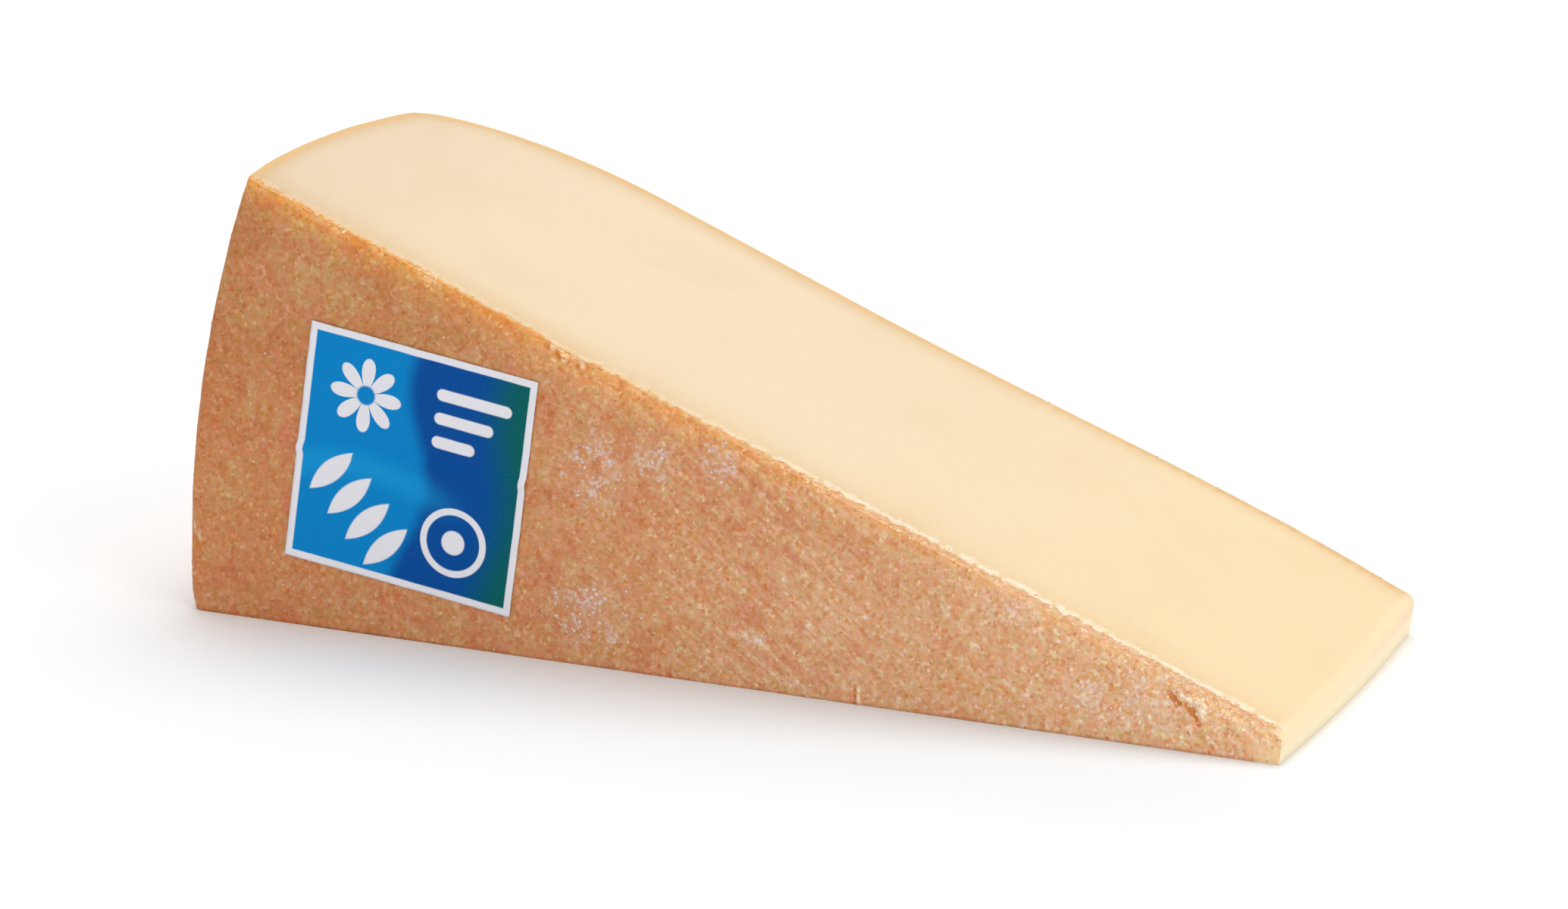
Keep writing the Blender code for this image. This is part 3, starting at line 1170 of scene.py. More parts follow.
@dataclass(frozen=True)
class RindFinish:
    """Washed rind: brown-orange, granular, with tan patches and pale bloom."""

    # heel, middle and tip: partly the rind's own colour, partly painted light that brightens it toward the
    # thin end
    heel: Colour = tint(198, 131, 79)
    middle: Colour = tint(209, 151, 103)
    tip: Colour = tint(227, 180, 138)
    corner: Colour = tint(232, 194, 136)
    corner_foot: Colour = tint(252, 222, 168)
    golden: Colour = tint(226, 146, 58)
    olive: Colour = tint(196, 150, 94)
    brick: Colour = tint(200, 114, 76)
    bloom: Colour = tint(220, 200, 194)
    bloom_tip: Colour = tint(238, 214, 196)
    cream: Colour = tint(255, 238, 210)
    bared: Colour = tint(246, 216, 168)
    crack: Colour = tint(210, 122, 44)
    lift_heel: Colour = (1.36, 1.36, 1.02, 1.0)
    lift_tip: Colour = (1.12, 1.18, 1.18, 1.0)
    # painted shade: the top of the heel darkened
    heel_top: Colour = (0.88, 0.78, 0.66, 1.0)
    darker: Colour = (0.82, 0.59, 0.41, 1.0)
    paler: Colour = (1.18, 1.45, 1.82, 1.0)
    orange_cast: Colour = (1.02, 0.77, 0.51, 1.0)
    pink_cast: Colour = (1.04, 0.99, 1.24, 1.0)
    olive_cast: Colour = (0.94, 1.10, 0.96, 1.0)
    roughness: float = 0.62
    scrape_turn: float = math.radians(-40)
    tear_x: float = RindBreaks.tear_x
    heel_to_middle: Band = (-118 * MM, -10 * MM)
    middle_to_tip: Band = (-20 * MM, 105 * MM)
    heel_shade_x: Band = (-30 * MM, -62 * MM)
    heel_shade_z: Band = (30 * MM, 66 * MM)
    olive_x: Band = (-90 * MM, 20 * MM)
    olive_z: Band = (74 * MM, 22 * MM)
    olive_fade: Band = (30 * MM, -70 * MM)
    smear_x: Band = (-98 * MM, 11 * MM)
    smear_z: Band = (46 * MM, 20 * MM)
    brick_fade: Band = (100 * MM, -30 * MM)
    scrape_x: Band = (6 * MM, 55 * MM)
    pale_x: Band = (8 * MM, 40 * MM)
    pale_z: Band = (38 * MM, 14 * MM)
    calmer_x: Band = (30 * MM, 100 * MM)
    lift_reach: Band = (10.5 * MM, 0.0)
    lift_x: Band = (-60 * MM, 50 * MM)
    rim_reach: Band = (2.6 * MM, 0.6 * MM)
    rim_x: Band = (30 * MM, -90 * MM)
    bared_x: Band = (0.0, 70 * MM)
    lifted_x: Band = (-20 * MM, 0.0)
    corner_reach: Band = (2.6 * MM, 0.6 * MM)
    corner_foot_reach: Band = (7 * MM, 2 * MM)
    corner_foot_z: Band = (5 * MM, 2.5 * MM)
    # how high the painted shade along the foot reaches
    foot_shade_z: Band = (0.9 * MM, 0.1 * MM)
    bloom_tip_x: Band = (0.0, 80 * MM)
    near_side_y: Band = (-30 * MM, -40 * MM)
    tear_reach: float = 10 * MM
    wheel: Wheel = Wheel()

    def material(self) -> bpy.types.Material:
        """The rind's material.

        Returns:
            The finished material.
        """
        sheet = SurfaceSheet("rind")
        place = sheet.place()
        x, _, z = sheet.split(place)
        # heel to tip: partly the rind's own colour, partly painted light, brighter toward the thin end
        ground = sheet.mix(self.heel, self.middle, x.rise(*self.heel_to_middle))
        ground = sheet.mix(ground, self.tip, x.rise(*self.middle_to_tip))
        # painted shade: darker toward the top of the heel
        heel_top_shade_share = x.rise(*self.heel_shade_x) * z.rise(*self.heel_shade_z)
        ground = sheet.shade(ground, self.heel_top, heel_top_shade_share)
        ground = self.patches(sheet, place, ground)
        ground = self.rimmed(sheet, place, ground)
        ground = self.specks(sheet, place, ground)
        ground = self.bloomed(sheet, place, ground)
        ground = self.worn(sheet, place, ground)
        rough = sheet.cloud(place, 1.2 * MM, 12.0) * 0.2 + (self.roughness - 0.1)
        sheet.coat(ground, rough, 0.3)
        sheet.soften(0.08, (1.0, 0.45, 0.2), 1.2 * MM)
        height = sheet.cloud(place, 1.1 * MM, 9.0, 1.0) * (0.20 * MM)
        height = height + sheet.cells(place, 0.75 * MM, 10.0) * (-0.06 * MM)
        sheet.relief(height)
        return sheet.material

    def patches(self, sheet: SurfaceSheet, place: Field, ground: Field) -> Field:
        """Olive and brick patches, upright smears near the heel and slanting scrapes in the middle.

        Args:
            sheet: the material's sheet.
            place: where a point is.
            ground: the colour so far.

        Returns:
            The colour with its patches.
        """
        x, _, z = sheet.split(place)
        broad = sheet.cloud(place, 13 * MM, 5.0, 3.0)
        upright = sheet.cloud(sheet.scaled(place, (1.0, 1.0, 0.3)), 4.5 * MM, 6.0, 3.0)
        heel_top = x.bell(*self.olive_x) * z.bell(*self.olive_z)
        smears = x.bell(*self.smear_x) * z.bell(*self.smear_z) * 0.6
        olive = broad.rise(0.46, 0.66) * 0.40 + upright.rise(0.50, 0.70) * (smears + 0.30) + heel_top * 0.75
        ground = sheet.mix(ground, self.olive, sheet.math("MINIMUM", olive, 0.85) * x.rise(*self.olive_fade))
        brick = sheet.cloud(place, 7 * MM, 8.0, 3.0).rise(0.50, 0.68) + upright.rise(0.46, 0.30)
        ground = sheet.mix(ground, self.brick, brick * 0.40 * x.rise(*self.brick_fade))
        turn = sheet.node("ShaderNodeVectorRotate", rotation_type="Y_AXIS")
        sheet.feed(turn, {"Vector": place, "Angle": self.scrape_turn})
        slanted = sheet.scaled(Field(sheet, turn.outputs[0]), (0.10, 1.0, 1.0))
        scrapes = sheet.cloud(slanted, 1.1 * MM, 11.0)
        scraped = x.bell(*self.scrape_x)
        ground = sheet.mix(ground, self.brick, scrapes.rise(0.54, 0.66) * scraped * 0.40)
        ground = sheet.shade(ground, self.paler, scrapes.rise(0.46, 0.32) * scraped * 0.50)
        low = x.bell(*self.pale_x) * z.rise(*self.pale_z)
        return sheet.shade(ground, self.paler, low * 0.32)

    def specks(self, sheet: SurfaceSheet, place: Field, ground: Field) -> Field:
        """Fine specks over the rind: pale, orange and shaded, some of them in grains of one colour.

        Args:
            sheet: the material's sheet.
            place: where a point is.
            ground: the colour so far.

        Returns:
            The colour with its specks.
        """
        x, _, _ = sheet.split(place)
        soft = sheet.cloud(place, 1.5 * MM, 20.0, 3.0)
        strength = x.rise(*self.calmer_x) * 0.15 + 0.85
        ground = sheet.shade(ground, self.darker, soft.rise(0.50, 0.32) * strength * 0.40)
        ground = sheet.shade(ground, self.paler, soft.rise(0.54, 0.72) * strength * 0.45)
        red, green, blue = sheet.split(sheet.cells(place, 0.72 * MM, 22.0, "Color"))
        ground = sheet.shade(ground, self.paler, red.rise(0.80, 0.96) * strength * 0.85)
        ground = sheet.shade(ground, self.orange_cast, green.rise(0.60, 0.92) * strength * 0.8)
        ground = sheet.shade(ground, self.pink_cast, blue.rise(0.60, 0.92) * strength)
        ground = sheet.shade(ground, self.darker, blue.rise(0.32, 0.08) * strength * 0.55)
        red, green, blue = sheet.split(sheet.cells(place, 1.15 * MM, 23.0, "Color"))
        ground = sheet.shade(ground, self.olive_cast, red.rise(0.45, 0.90) * 0.9)
        ground = sheet.shade(ground, self.orange_cast, green.rise(0.62, 0.92) * 0.40)
        return sheet.shade(ground, self.paler, blue.rise(0.74, 0.94) * strength * 0.35)

    def rimmed(self, sheet: SurfaceSheet, place: Field, ground: Field) -> Field:
        """The rind under the top edge: brighter, with a golden rim that is strongest at the heel.

        Args:
            sheet: the material's sheet.
            place: where a point is.
            ground: the colour so far.

        Returns:
            The colour with its rim.
        """
        x, _, z = sheet.split(place)
        below = self.wheel.below_top(x, z)
        uneven = below + sheet.wobble(place, 3 * MM, 7.0, 3.5 * MM)
        lift = sheet.mix(self.lift_heel, self.lift_tip, x.rise(*self.lift_x))
        ground = sheet.shade(ground, lift, uneven.rise(*self.lift_reach) ** 2.0)
        fine = below * 0.7 + uneven * 0.3 + sheet.wobble(place, 1.3 * MM, 13.0, 1.6 * MM)
        rim = fine.rise(*self.rim_reach) * (x.rise(*self.rim_x) * 0.50 + 0.40)
        return sheet.mix(ground, self.golden, rim)

    def worn(self, sheet: SurfaceSheet, place: Field, ground: Field) -> Field:
        """The rind where it is worn, bare where it is bitten and torn in its breaks, with painted shade
        darkening it along the foot.

        Args:
            sheet: the material's sheet.
            place: where a point is.
            ground: the colour so far.

        Returns:
            The colour with its worn places and its painted shade at the foot.
        """
        x, _, z = sheet.split(place)
        broken, lifted = sheet.attribute("broken"), sheet.attribute("lifted")
        flecks = sheet.cloud(place, 0.8 * MM, 14.0)
        bare = sheet.attribute("bared") * flecks.rise(0.34, 0.52)
        bare = bare * (1.0 - x.bell(self.tear_x, self.tear_reach) * 0.45)
        ground = sheet.mix(ground, self.bared, bare * (0.95 - x.rise(*self.bared_x) * 0.35))
        ground = sheet.mix(ground, self.crack, broken * flecks.rise(0.76, 0.54) * 0.92)
        ground = sheet.mix(ground, self.cream, lifted * (x.rise(*self.lifted_x) * 0.20 + 0.75))
        tip_depth = sheet.attribute("tip_depth") + (flecks - 0.5) * (2 * MM)
        ground = sheet.mix(ground, self.corner, tip_depth.rise(*self.corner_reach) * 0.6)
        low_z = (z + (flecks - 0.5) * (2 * MM)).rise(*self.corner_foot_z)
        low = tip_depth.rise(*self.corner_foot_reach) * low_z
        ground = sheet.mix(ground, self.corner_foot, low * 0.5)
        # painted shade: the rind darkened along the foot, where it meets the floor
        foot = (z + (flecks - 0.5) * (0.8 * MM)).rise(*self.foot_shade_z) * (1.0 - low)
        return sheet.shade(ground, self.darker, foot * 0.7)

    def bloomed(self, sheet: SurfaceSheet, place: Field, ground: Field) -> Field:
        """A pale dusting where the bloom flakes cluster.

        Args:
            sheet: the material's sheet.
            place: where a point is.
            ground: the colour so far.

        Returns:
            The colour with its bloom.
        """
        x, y, z = sheet.split(place)
        red, _, _ = sheet.split(sheet.cells(place, 0.7 * MM, 25.0, "Color"))
        share = bloom_share(sheet, x, z) * sheet.cloud(place, 3.0 * MM, 24.0, 3.0).rise(0.38, 0.60)
        dust = red.rise(0.56, 0.86) * (share * 0.9 + 0.10) + share * 0.20
        pale = sheet.mix(self.bloom, self.bloom_tip, x.rise(*self.bloom_tip_x))
        return sheet.mix(ground, pale, dust * y.rise(*self.near_side_y) * 0.65)


@dataclass(frozen=True)
class PasteFinish:
    """Smooth pale paste of a hard cheese, darker and drier close to the rind."""

    # heel, middle and tip: the paste darkens toward the heel, which is painted shade
    heel: Colour = tint(216, 196, 167)
    middle: Colour = tint(226, 206, 174)
    tip: Colour = tint(230, 207, 166)
    # painted light: the thin end's cut face made brighter
    tip_face_light: Colour = tint(244, 215, 177)
    tip_foot: Colour = tint(253, 233, 194)
    # painted highlight: the pale line where the cut's burr catches the light
    burr_highlight: Colour = tint(238, 222, 198)
    skin_heel: Colour = tint(216, 150, 66)
    skin_tip: Colour = tint(210, 166, 124)
    far_line: Colour = tint(219, 179, 122)
    dry: Colour = (0.86, 0.70, 0.48, 1.0)
    drier: Colour = (0.93, 0.88, 0.80, 1.0)
    near_reach: float = 5.5 * MM
    far_reach: float = 9.5 * MM
    heel_reach: float = 6.0 * MM
    heel_to_middle: Band = (-130 * MM, -45 * MM)
    middle_to_tip: Band = (-20 * MM, 110 * MM)
    tip_reach: Band = (4.0 * MM, 0.2 * MM)
    tip_face_reach: Band = (0.5 * MM, 0.0)
    tip_foot_z: Band = (7 * MM, 2 * MM)
    ragged_x: Band = (-100 * MM, 80 * MM)
    speckled_x: Band = (0.0, -90 * MM)
    wider_x: Band = (-30 * MM, -90 * MM)
    burr_highlight_reach: Band = (1.0 * MM, 1.8 * MM)
    burr_highlight_x: Band = (-30 * MM, 60 * MM)
    far_x: Band = (-95 * MM, -60 * MM)
    closer_x: Band = (-30 * MM, 80 * MM)
    closer: float = 2.5 * MM
    far_line_reach: Band = (3.0 * MM, 0.8 * MM)
    skin_x: Band = (-80 * MM, 80 * MM)
    tear_reach: float = 6.5 * MM
    tear_loss: float = 2.4 * MM
    roughness: float = 0.45
    wheel: Wheel = Wheel()
    rind: RindFinish = RindFinish()

    def material(self) -> bpy.types.Material:
        """The paste's material.

        Returns:
            The finished material.
        """
        sheet = SurfaceSheet("paste")
        place = sheet.place()
        x, _, z = sheet.split(place)
        # painted shade: the paste darker toward the heel
        ground = sheet.mix(self.heel, self.middle, x.rise(*self.heel_to_middle))
        ground = sheet.mix(ground, self.tip, x.rise(*self.middle_to_tip))
        mottle = sheet.cloud(place, 22 * MM, 31.0, 3.0)
        ground = sheet.shade(ground, self.drier, mottle.rise(0.42, 0.75) * 0.35)
        ground = self.edged(sheet, place, ground)
        tip_depth = sheet.attribute("tip_depth")
        # painted light: the thin end's cut face brightened
        ground = sheet.mix(ground, self.tip_face_light, tip_depth.rise(*self.tip_reach) * 0.9)
        on_face = tip_depth.rise(*self.tip_face_reach) * z.rise(*self.tip_foot_z)
        ground = sheet.mix(ground, self.tip_foot, on_face * 0.9)
        rough = sheet.cloud(place, 8 * MM, 33.0) * 0.16 + (self.roughness - 0.08)
        sheet.coat(ground, rough, 0.4)
        sheet.soften(0.35, (1.0, 0.6, 0.3), 3 * MM)
        drag = sheet.cloud(sheet.scaled(place, (0.12, 1.0, 1.0)), 0.8 * MM, 34.0)
        pores = sheet.cloud(place, 0.5 * MM, 35.0)
        sheet.relief(drag * (0.012 * MM) + pores * (0.008 * MM))
        return sheet.material

    def edged(self, sheet: SurfaceSheet, place: Field, ground: Field) -> Field:
        """The paste close to the rind: dry and tan, with a broken pale line near the thin end, a painted
        highlight along the cut's burr.

        Args:
            sheet: the material's sheet.
            place: where a point is.
            ground: the paste's colour so far.

        Returns:
            The colour with its edges.
        """
        x, y, _ = sheet.split(place)
        wobble = sheet.wobble(place, 4 * MM, 30.0, 1.6 * MM)
        fine = sheet.wobble(place, 1.5 * MM, 36.0, x.rise(*self.ragged_x) * (2.0 * MM) + 3.0 * MM)
        speckled, _, _ = sheet.split(sheet.cells(place, 0.7 * MM, 37.0, "Color"))
        fine = fine + (speckled - 0.5) * x.rise(*self.speckled_x) * (2.0 * MM)
        wrap = wrap_width(x) + x.rise(*self.wider_x) * (0.7 * MM)
        wrap = wrap - x.bell(self.rind.tear_x, self.tear_reach) * self.tear_loss
        from_near = sheet.largest(y - self.wheel.near_y + wobble, 0.0)
        from_rind = sheet.attribute("rind_depth") + wobble * 0.7
        dry = sheet.math("EXPONENT", from_near / -self.near_reach)
        past_wrap = from_near + fine * 0.8 - wrap
        patchy = sheet.cloud(place, 2.0 * MM, 32.0).rise(0.36, 0.50)
        # painted highlight: a broken pale line just past the rind's wrap, along the cut's burr
        line = past_wrap.bell(*self.burr_highlight_reach) * (x.rise(*self.burr_highlight_x) * 0.75 + 0.25) * patchy
        ground = sheet.shade(ground, self.dry, dry * (1.0 - line * 0.8))
        reach = x.rise(*self.far_x) * (self.far_reach - self.heel_reach) + self.heel_reach
        reach = reach - x.rise(*self.closer_x) * self.closer
        near_rind = sheet.largest(1.0 - from_rind / reach, 0.0) ** 2.0
        ground = sheet.shade(ground, self.dry, near_rind)
        on_line = from_rind.rise(*self.far_line_reach)
        ground = sheet.mix(ground, self.far_line, on_line * (patchy * 0.3 + 0.5))
        ground = sheet.mix(ground, self.burr_highlight, line * 0.8)
        skin = sheet.mix(self.skin_heel, self.skin_tip, x.rise(*self.skin_x))
        skin = self.rind.specks(sheet, place, skin)
        on_skin = (from_near + fine - wrap).rise(0.25 * MM, -0.25 * MM)
        return sheet.mix(ground, skin, on_skin * 0.95)


@dataclass(frozen=True)
class SpeckFinish:
    """Small loose grains, whose colour goes by a random tone kept on each."""

    name: str
    low: Colour
    middle: Colour
    high: Colour
    tip_lift: Colour = (1.0, 1.0, 1.0, 1.0)
    lift_x: Band = (-60 * MM, 70 * MM)
    roughness: float = 0.6

    def material(self) -> bpy.types.Material:
        """The grains' material.

        Returns:
            The finished material.
        """
        sheet = SurfaceSheet(self.name)
        tone = sheet.attribute("tone")
        ground = sheet.mix(self.low, self.middle, tone.rise(0.0, 0.5))
        ground = sheet.mix(ground, self.high, tone.rise(0.5, 1.0))
        place = sheet.place()
        x, _, _ = sheet.split(place)
        fleck = sheet.cloud(place, 0.4 * MM, 40.0)
        ground = sheet.mix(ground, self.low, fleck.rise(0.62, 0.42) * 0.3)
        ground = sheet.shade(ground, self.tip_lift, x.rise(*self.lift_x))
        sheet.coat(ground, fleck * 0.2 + (self.roughness - 0.1), 0.3)
        sheet.relief(fleck * (0.05 * MM))
        return sheet.material


@dataclass(frozen=True)
class Stamp:
    """Simple shapes printed on the label, in shares of its side; each is 1 inside and 0 outside."""

    sheet: SurfaceSheet
    across: Field
    down: Field
    blur: float = 0.004
    ring_blur: float = 0.003
    stripe_edge: tuple[float, float] = (0.028, 0.021)

    def off(self, middle: Spot) -> tuple[Field, Field]:
        """How far across and down from a spot a point is."""
        return self.across - middle[0], self.down - middle[1]

    def disc(self, middle: Spot, radius: float) -> Field:
        """A filled circle."""
        return self.sheet.length(*self.off(middle)).rise(radius + self.blur, radius - self.blur)

    def ring(self, middle: Spot, radius: float, width: float) -> Field:
        """A circle's line."""
        away = self.sheet.math("ABSOLUTE", self.sheet.length(*self.off(middle)) - radius)
        return away.rise(width / 2 + self.ring_blur, width / 2 - self.ring_blur)

    def daisy(self, middle: Spot, radius: float) -> Field:
        """A flower of eight round petals about an open eye.

        Args:
            middle: where its eye is.
            radius: how far its petals reach.

        Returns:
            The flower.
        """
        right, low = self.off(middle)
        away = self.sheet.length(right, low)
        turn = self.sheet.math("ARCTAN2", low, right)
        petals = self.sheet.math("ABSOLUTE", self.sheet.math("COSINE", turn * 4.0))
        outline = petals**0.45 * radius - away
        return outline.rise(-self.blur, self.blur) * away.rise(radius * 0.22, radius * 0.30)

    def leaf(self, middle: Spot, turn: float, length: float, width: float) -> Field:
        """A pointed leaf.

        Args:
            middle: where its middle is.
            turn: how far it leans, as an angle.
            length, width: half its length and half its width.

        Returns:
            The leaf.
        """
        right, low = self.off(middle)
        share = (right * math.cos(turn) - low * math.sin(turn)) / length
        aside = right * math.sin(turn) + low * math.cos(turn)
        outline = (1.0 - share * share) * width - self.sheet.math("ABSOLUTE", aside)
        return outline.rise(-self.blur, self.blur)

    def stripe(self, height: float, left: float, right: float) -> Field:
        """A level stripe with round ends.

        Args:
            height: how far down the label it lies.
            left, right: where its ends are.

        Returns:
            The stripe.
        """
        beyond = self.sheet.largest(self.across - right, left - self.across, 0.0)
        return self.sheet.length(beyond, self.down - height).rise(*self.stripe_edge)

    def all(self) -> Field:
        """A daisy, a ring about a disc, a row of leaves and three stripes.

        Returns:
            1 in any of the shapes.
        """
        ring_middle = (0.72, 0.76)
        shapes = [
            self.daisy((0.27, 0.25), radius=0.155),
            self.ring(ring_middle, radius=0.13, width=0.028),
            self.disc(ring_middle, radius=0.05),
        ]
        for number in range(4):
            middle = (0.16 + 0.09 * number, 0.60 + 0.085 * number)
            shapes.append(self.leaf(middle, turn=0.85, length=0.13, width=0.042))
        for number in range(3):
            shapes.append(self.stripe(0.16 + 0.10 * number, left=0.60, right=0.88 - 0.07 * number))
        return self.sheet.largest(*shapes)


@dataclass(frozen=True)
class PaperFinish:
    """Coated label paper, printed with fields of blue and green and simple pale shapes, with a painted
    highlight along its fold.
    """

    paper: Colour = tint(226, 226, 232)
    light_blue: Colour = tint(0, 128, 196)
    fold_highlight_blue: Colour = tint(24, 158, 218)
    dark_blue: Colour = tint(0, 74, 150)
    green: Colour = tint(0, 92, 92)
    fibre_tint: Colour = tint(150, 156, 176)
    border: float = 1.45 / 50
    border_blur: float = 0.003
    roughness: float = 0.38

    def material(self) -> bpy.types.Material:
        """The label's material.

        Returns:
            The finished material.
        """
        sheet = SurfaceSheet("label_paper")
        across, down = sheet.label_place()
        place = sheet.place()
        wave = sheet.math("SINE", down * 7.0 + 0.6) * 0.06
        print_ground = sheet.mix(self.light_blue, self.dark_blue, (across + wave).rise(0.47, 0.56))
        print_ground = sheet.mix(print_ground, self.green, (across + wave * 0.6).rise(0.76, 0.98))
        # painted highlight: a lighter blue band below the label's fold
        fold_highlight = (down + sheet.math("SINE", across * 5.0) * 0.05).bell(0.60, 0.10)
        print_ground = sheet.mix(print_ground, self.fold_highlight_blue, fold_highlight * across.rise(0.80, 0.50) * 0.5)
        print_ground = sheet.mix(print_ground, self.paper, Stamp(sheet, across, down).all())
        inside = sheet.math("MINIMUM", across, 1.0 - across)
        inside = sheet.math("MINIMUM", inside, sheet.math("MINIMUM", down, 1.0 - down))
        printed = inside.rise(self.border - self.border_blur, self.border + self.border_blur)
        ground = sheet.mix(self.paper, print_ground, printed)
        fibre = sheet.cloud(place, 0.35 * MM, 50.0)
        ground = sheet.mix(ground, self.fibre_tint, fibre.rise(0.62, 0.78) * 0.10)
        sheet.coat(ground, fibre * 0.16 + (self.roughness - 0.08), 0.06)
        sheet.relief(fibre * (0.015 * MM) + sheet.cloud(place, 4 * MM, 51.0) * (0.12 * MM))
        return sheet.material


@dataclass
class Scatter:
    """Small grains of one kind that lie on the rind, as one joined piece."""

    name: str
    finish: SpeckFinish
    density: float
    size: float
    smallest: float
    flatness: float
    seed: int
    unevenness: float = 0.25
    kept_below: tuple[str, ...] = (
        "rind_out", "push", "top_cut", "broken", "bared", "lifted", "rind_depth", "tip_depth"
    )

    def share(self, sheet: ShapeSheet, place: Field) -> Field:
        """Where the grains lie: on the rind, but not in its breaks.

        Args:
            sheet: the tree's sheet.
            place: where a point is.

        Returns:
            How thick they lie, from 0 to 1.
        """
        x, y, _ = sheet.split(place)
        cut = sheet.attribute("is_cut")
        wrapped = sheet.attribute("top_cut") * (y - NEAR_Y - wrap_width(x)).rise(0.0, -0.8 * MM)
        rind = sheet.largest(1.0 - cut, wrapped) * (1.0 - sheet.attribute("broken"))
        return rind * sheet.cloud(place, 7 * MM, self.seed + 0.5).rise(0.30, 0.62)

    def build(self, ground: bpy.types.Object) -> bpy.types.Object:
        """Scatters the grains over the ground.

        Args:
            ground: the finished wedge.

        Returns:
            The finished piece.
        """
        sizes = {"Density": self.density, "Grain size": self.size, "Smallest": self.smallest}
        sheet = ShapeSheet(self.name, sizes)
        place = sheet.place()
        node = sheet.node("GeometryNodeDistributePointsOnFaces", distribute_method="RANDOM")
        thick = sheet.size("Density") * self.share(sheet, place)
        sheet.feed(node, {0: sheet.shape(), "Density": thick, "Seed": self.seed})
        points, way = Field(sheet, node.outputs["Points"]), Field(sheet, node.outputs["Rotation"])
        grain = sheet.node("GeometryNodeMeshIcoSphere")
        sheet.feed(grain, {"Radius": 0.5, "Subdivisions": 1})
        scale = self.chance(sheet, self.seed + 1) ** 1.6
        scale = (sheet.size("Smallest") + scale * (1.0 - sheet.size("Smallest"))) * sheet.size("Grain size")
        stretch = self.chance(sheet, self.seed + 2) * 0.5 + 0.8
        body = {
            "Instance": Field(sheet, grain.outputs["Mesh"]),
            "Rotation": way,
            "Scale": sheet.joined(scale * stretch, scale, scale * self.flatness),
        }
        shape = sheet.step("GeometryNodeInstanceOnPoints", points, body)
        spin = sheet.joined(0.0, 0.0, self.chance(sheet, self.seed + 3) * (2 * math.pi))
        shape = sheet.step("GeometryNodeRotateInstances", shape, {"Rotation": spin, "Local Space": True})
        tone = {"Name": "tone", "Value": self.chance(sheet, self.seed + 4)}
        shape = sheet.step(
            "GeometryNodeStoreNamedAttribute", shape, tone, data_type="FLOAT", domain="INSTANCE"
        )
        shape = sheet.step("GeometryNodeRealizeInstances", shape, {})
        jolt = sheet.node("ShaderNodeTexNoise")
        sheet.feed(jolt, {"Scale": 1.6 / self.size, "Detail": 0.0})
        off = sheet.vector("SUBTRACT", Field(sheet, jolt.outputs[1]), (0.5, 0.5, 0.5))
        off = sheet.scaled(off, (self.size * self.unevenness,) * 3)
        shape = sheet.step("GeometryNodeSetPosition", shape, {"Offset": off})
        sheet.close(shape, {"": self.finish.material()})
        piece = sheet.grow(self.name, ground.data.copy())
        self.drop_kept(piece.data)
        settle(piece, "cheese")
        return piece

    @staticmethod
    def chance(sheet: ShapeSheet, seed: int) -> Field:
        """A random number from 0 to 1 for each grain.

        Args:
            sheet: the tree's sheet.
            seed: which number of its kind it is.

        Returns:
            The number.
        """
        node = sheet.node("FunctionNodeRandomValue", data_type="FLOAT")
        node.inputs["Seed"].default_value = seed
        return Field(sheet, node.outputs[1])

    def drop_kept(self, mesh: bpy.types.Mesh) -> None:
        """Removes what the grains kept from the surface below them.

        Args:
            mesh: the grains' mesh.
        """
        for name in self.kept_below:
            kept = mesh.attributes.get(name)
            if kept:
                mesh.attributes.remove(kept)


@dataclass
class Bloom(Scatter):
    """Pale flakes of bloom, in the clusters that show on the labelled side."""

    thin_x: Band = (-85 * MM, -45 * MM)

    def share(self, sheet: ShapeSheet, place: Field) -> Field:
        """Where the bloom lies: in its clusters, in finer clouds, and thinly away from the heel.

        Args:
            sheet: the tree's sheet.
            place: where a point is.

        Returns:
            How thick they lie, from 0 to 1.
        """
        x, _, z = sheet.split(place)
        thin = sheet.cloud(place, 20 * MM, self.seed + 0.2).rise(0.56, 0.75) * x.rise(*self.thin_x)
        whole = sheet.largest(thin * 0.10, bloom_share(sheet, x, z))
        whole = whole * (1.0 - sheet.attribute("is_cut"))
        return whole * sheet.cloud(place, 2.6 * MM, self.seed + 0.7, 1.0).rise(0.42, 0.60)


@dataclass
class Crumbs(Scatter):
    """Crumbs of paste along the broken stretches of the top edge."""

    breaks: RindBreaks = field(default_factory=RindBreaks)
    wheel: Wheel = field(default_factory=Wheel)
    near_reach: Band = (2.5 * MM, 1.5 * MM)
    top_reach: Band = (2.0 * MM, 0.4 * MM)
    edge_reach: Band = (0.5 * MM, 0.1 * MM)
    flake_x: Band = (-20 * MM, -15 * MM)

    def share(self, sheet: ShapeSheet, place: Field) -> Field:
        """Where the crumbs lie: close under the top edge, where it is torn and where it crumbles.

        Args:
            sheet: the tree's sheet.
            place: where a point is.

        Returns:
            How thick they lie, from 0 to 1.
        """
        x, y, z = sheet.split(place)
        below = self.wheel.below_top(x, z)
        near = (y - self.wheel.near_y).rise(*self.near_reach)
        start, full = self.breaks.crumble_x
        close = below.rise(*self.top_reach)
        crumble = x.rise(start, full) * close
        tear = x.bell(self.breaks.tear_x, self.breaks.tear_half_length * 1.1) * close * 0.12
        flake = sheet.attribute("lifted") * 0.8 + sheet.attribute("broken") * 0.2
        flake = flake * x.rise(*self.flake_x)
        edge = below.rise(*self.edge_reach) * 0.10
        return sheet.largest(crumble, tear, flake, edge) * near * (1.0 - sheet.attribute("is_cut"))


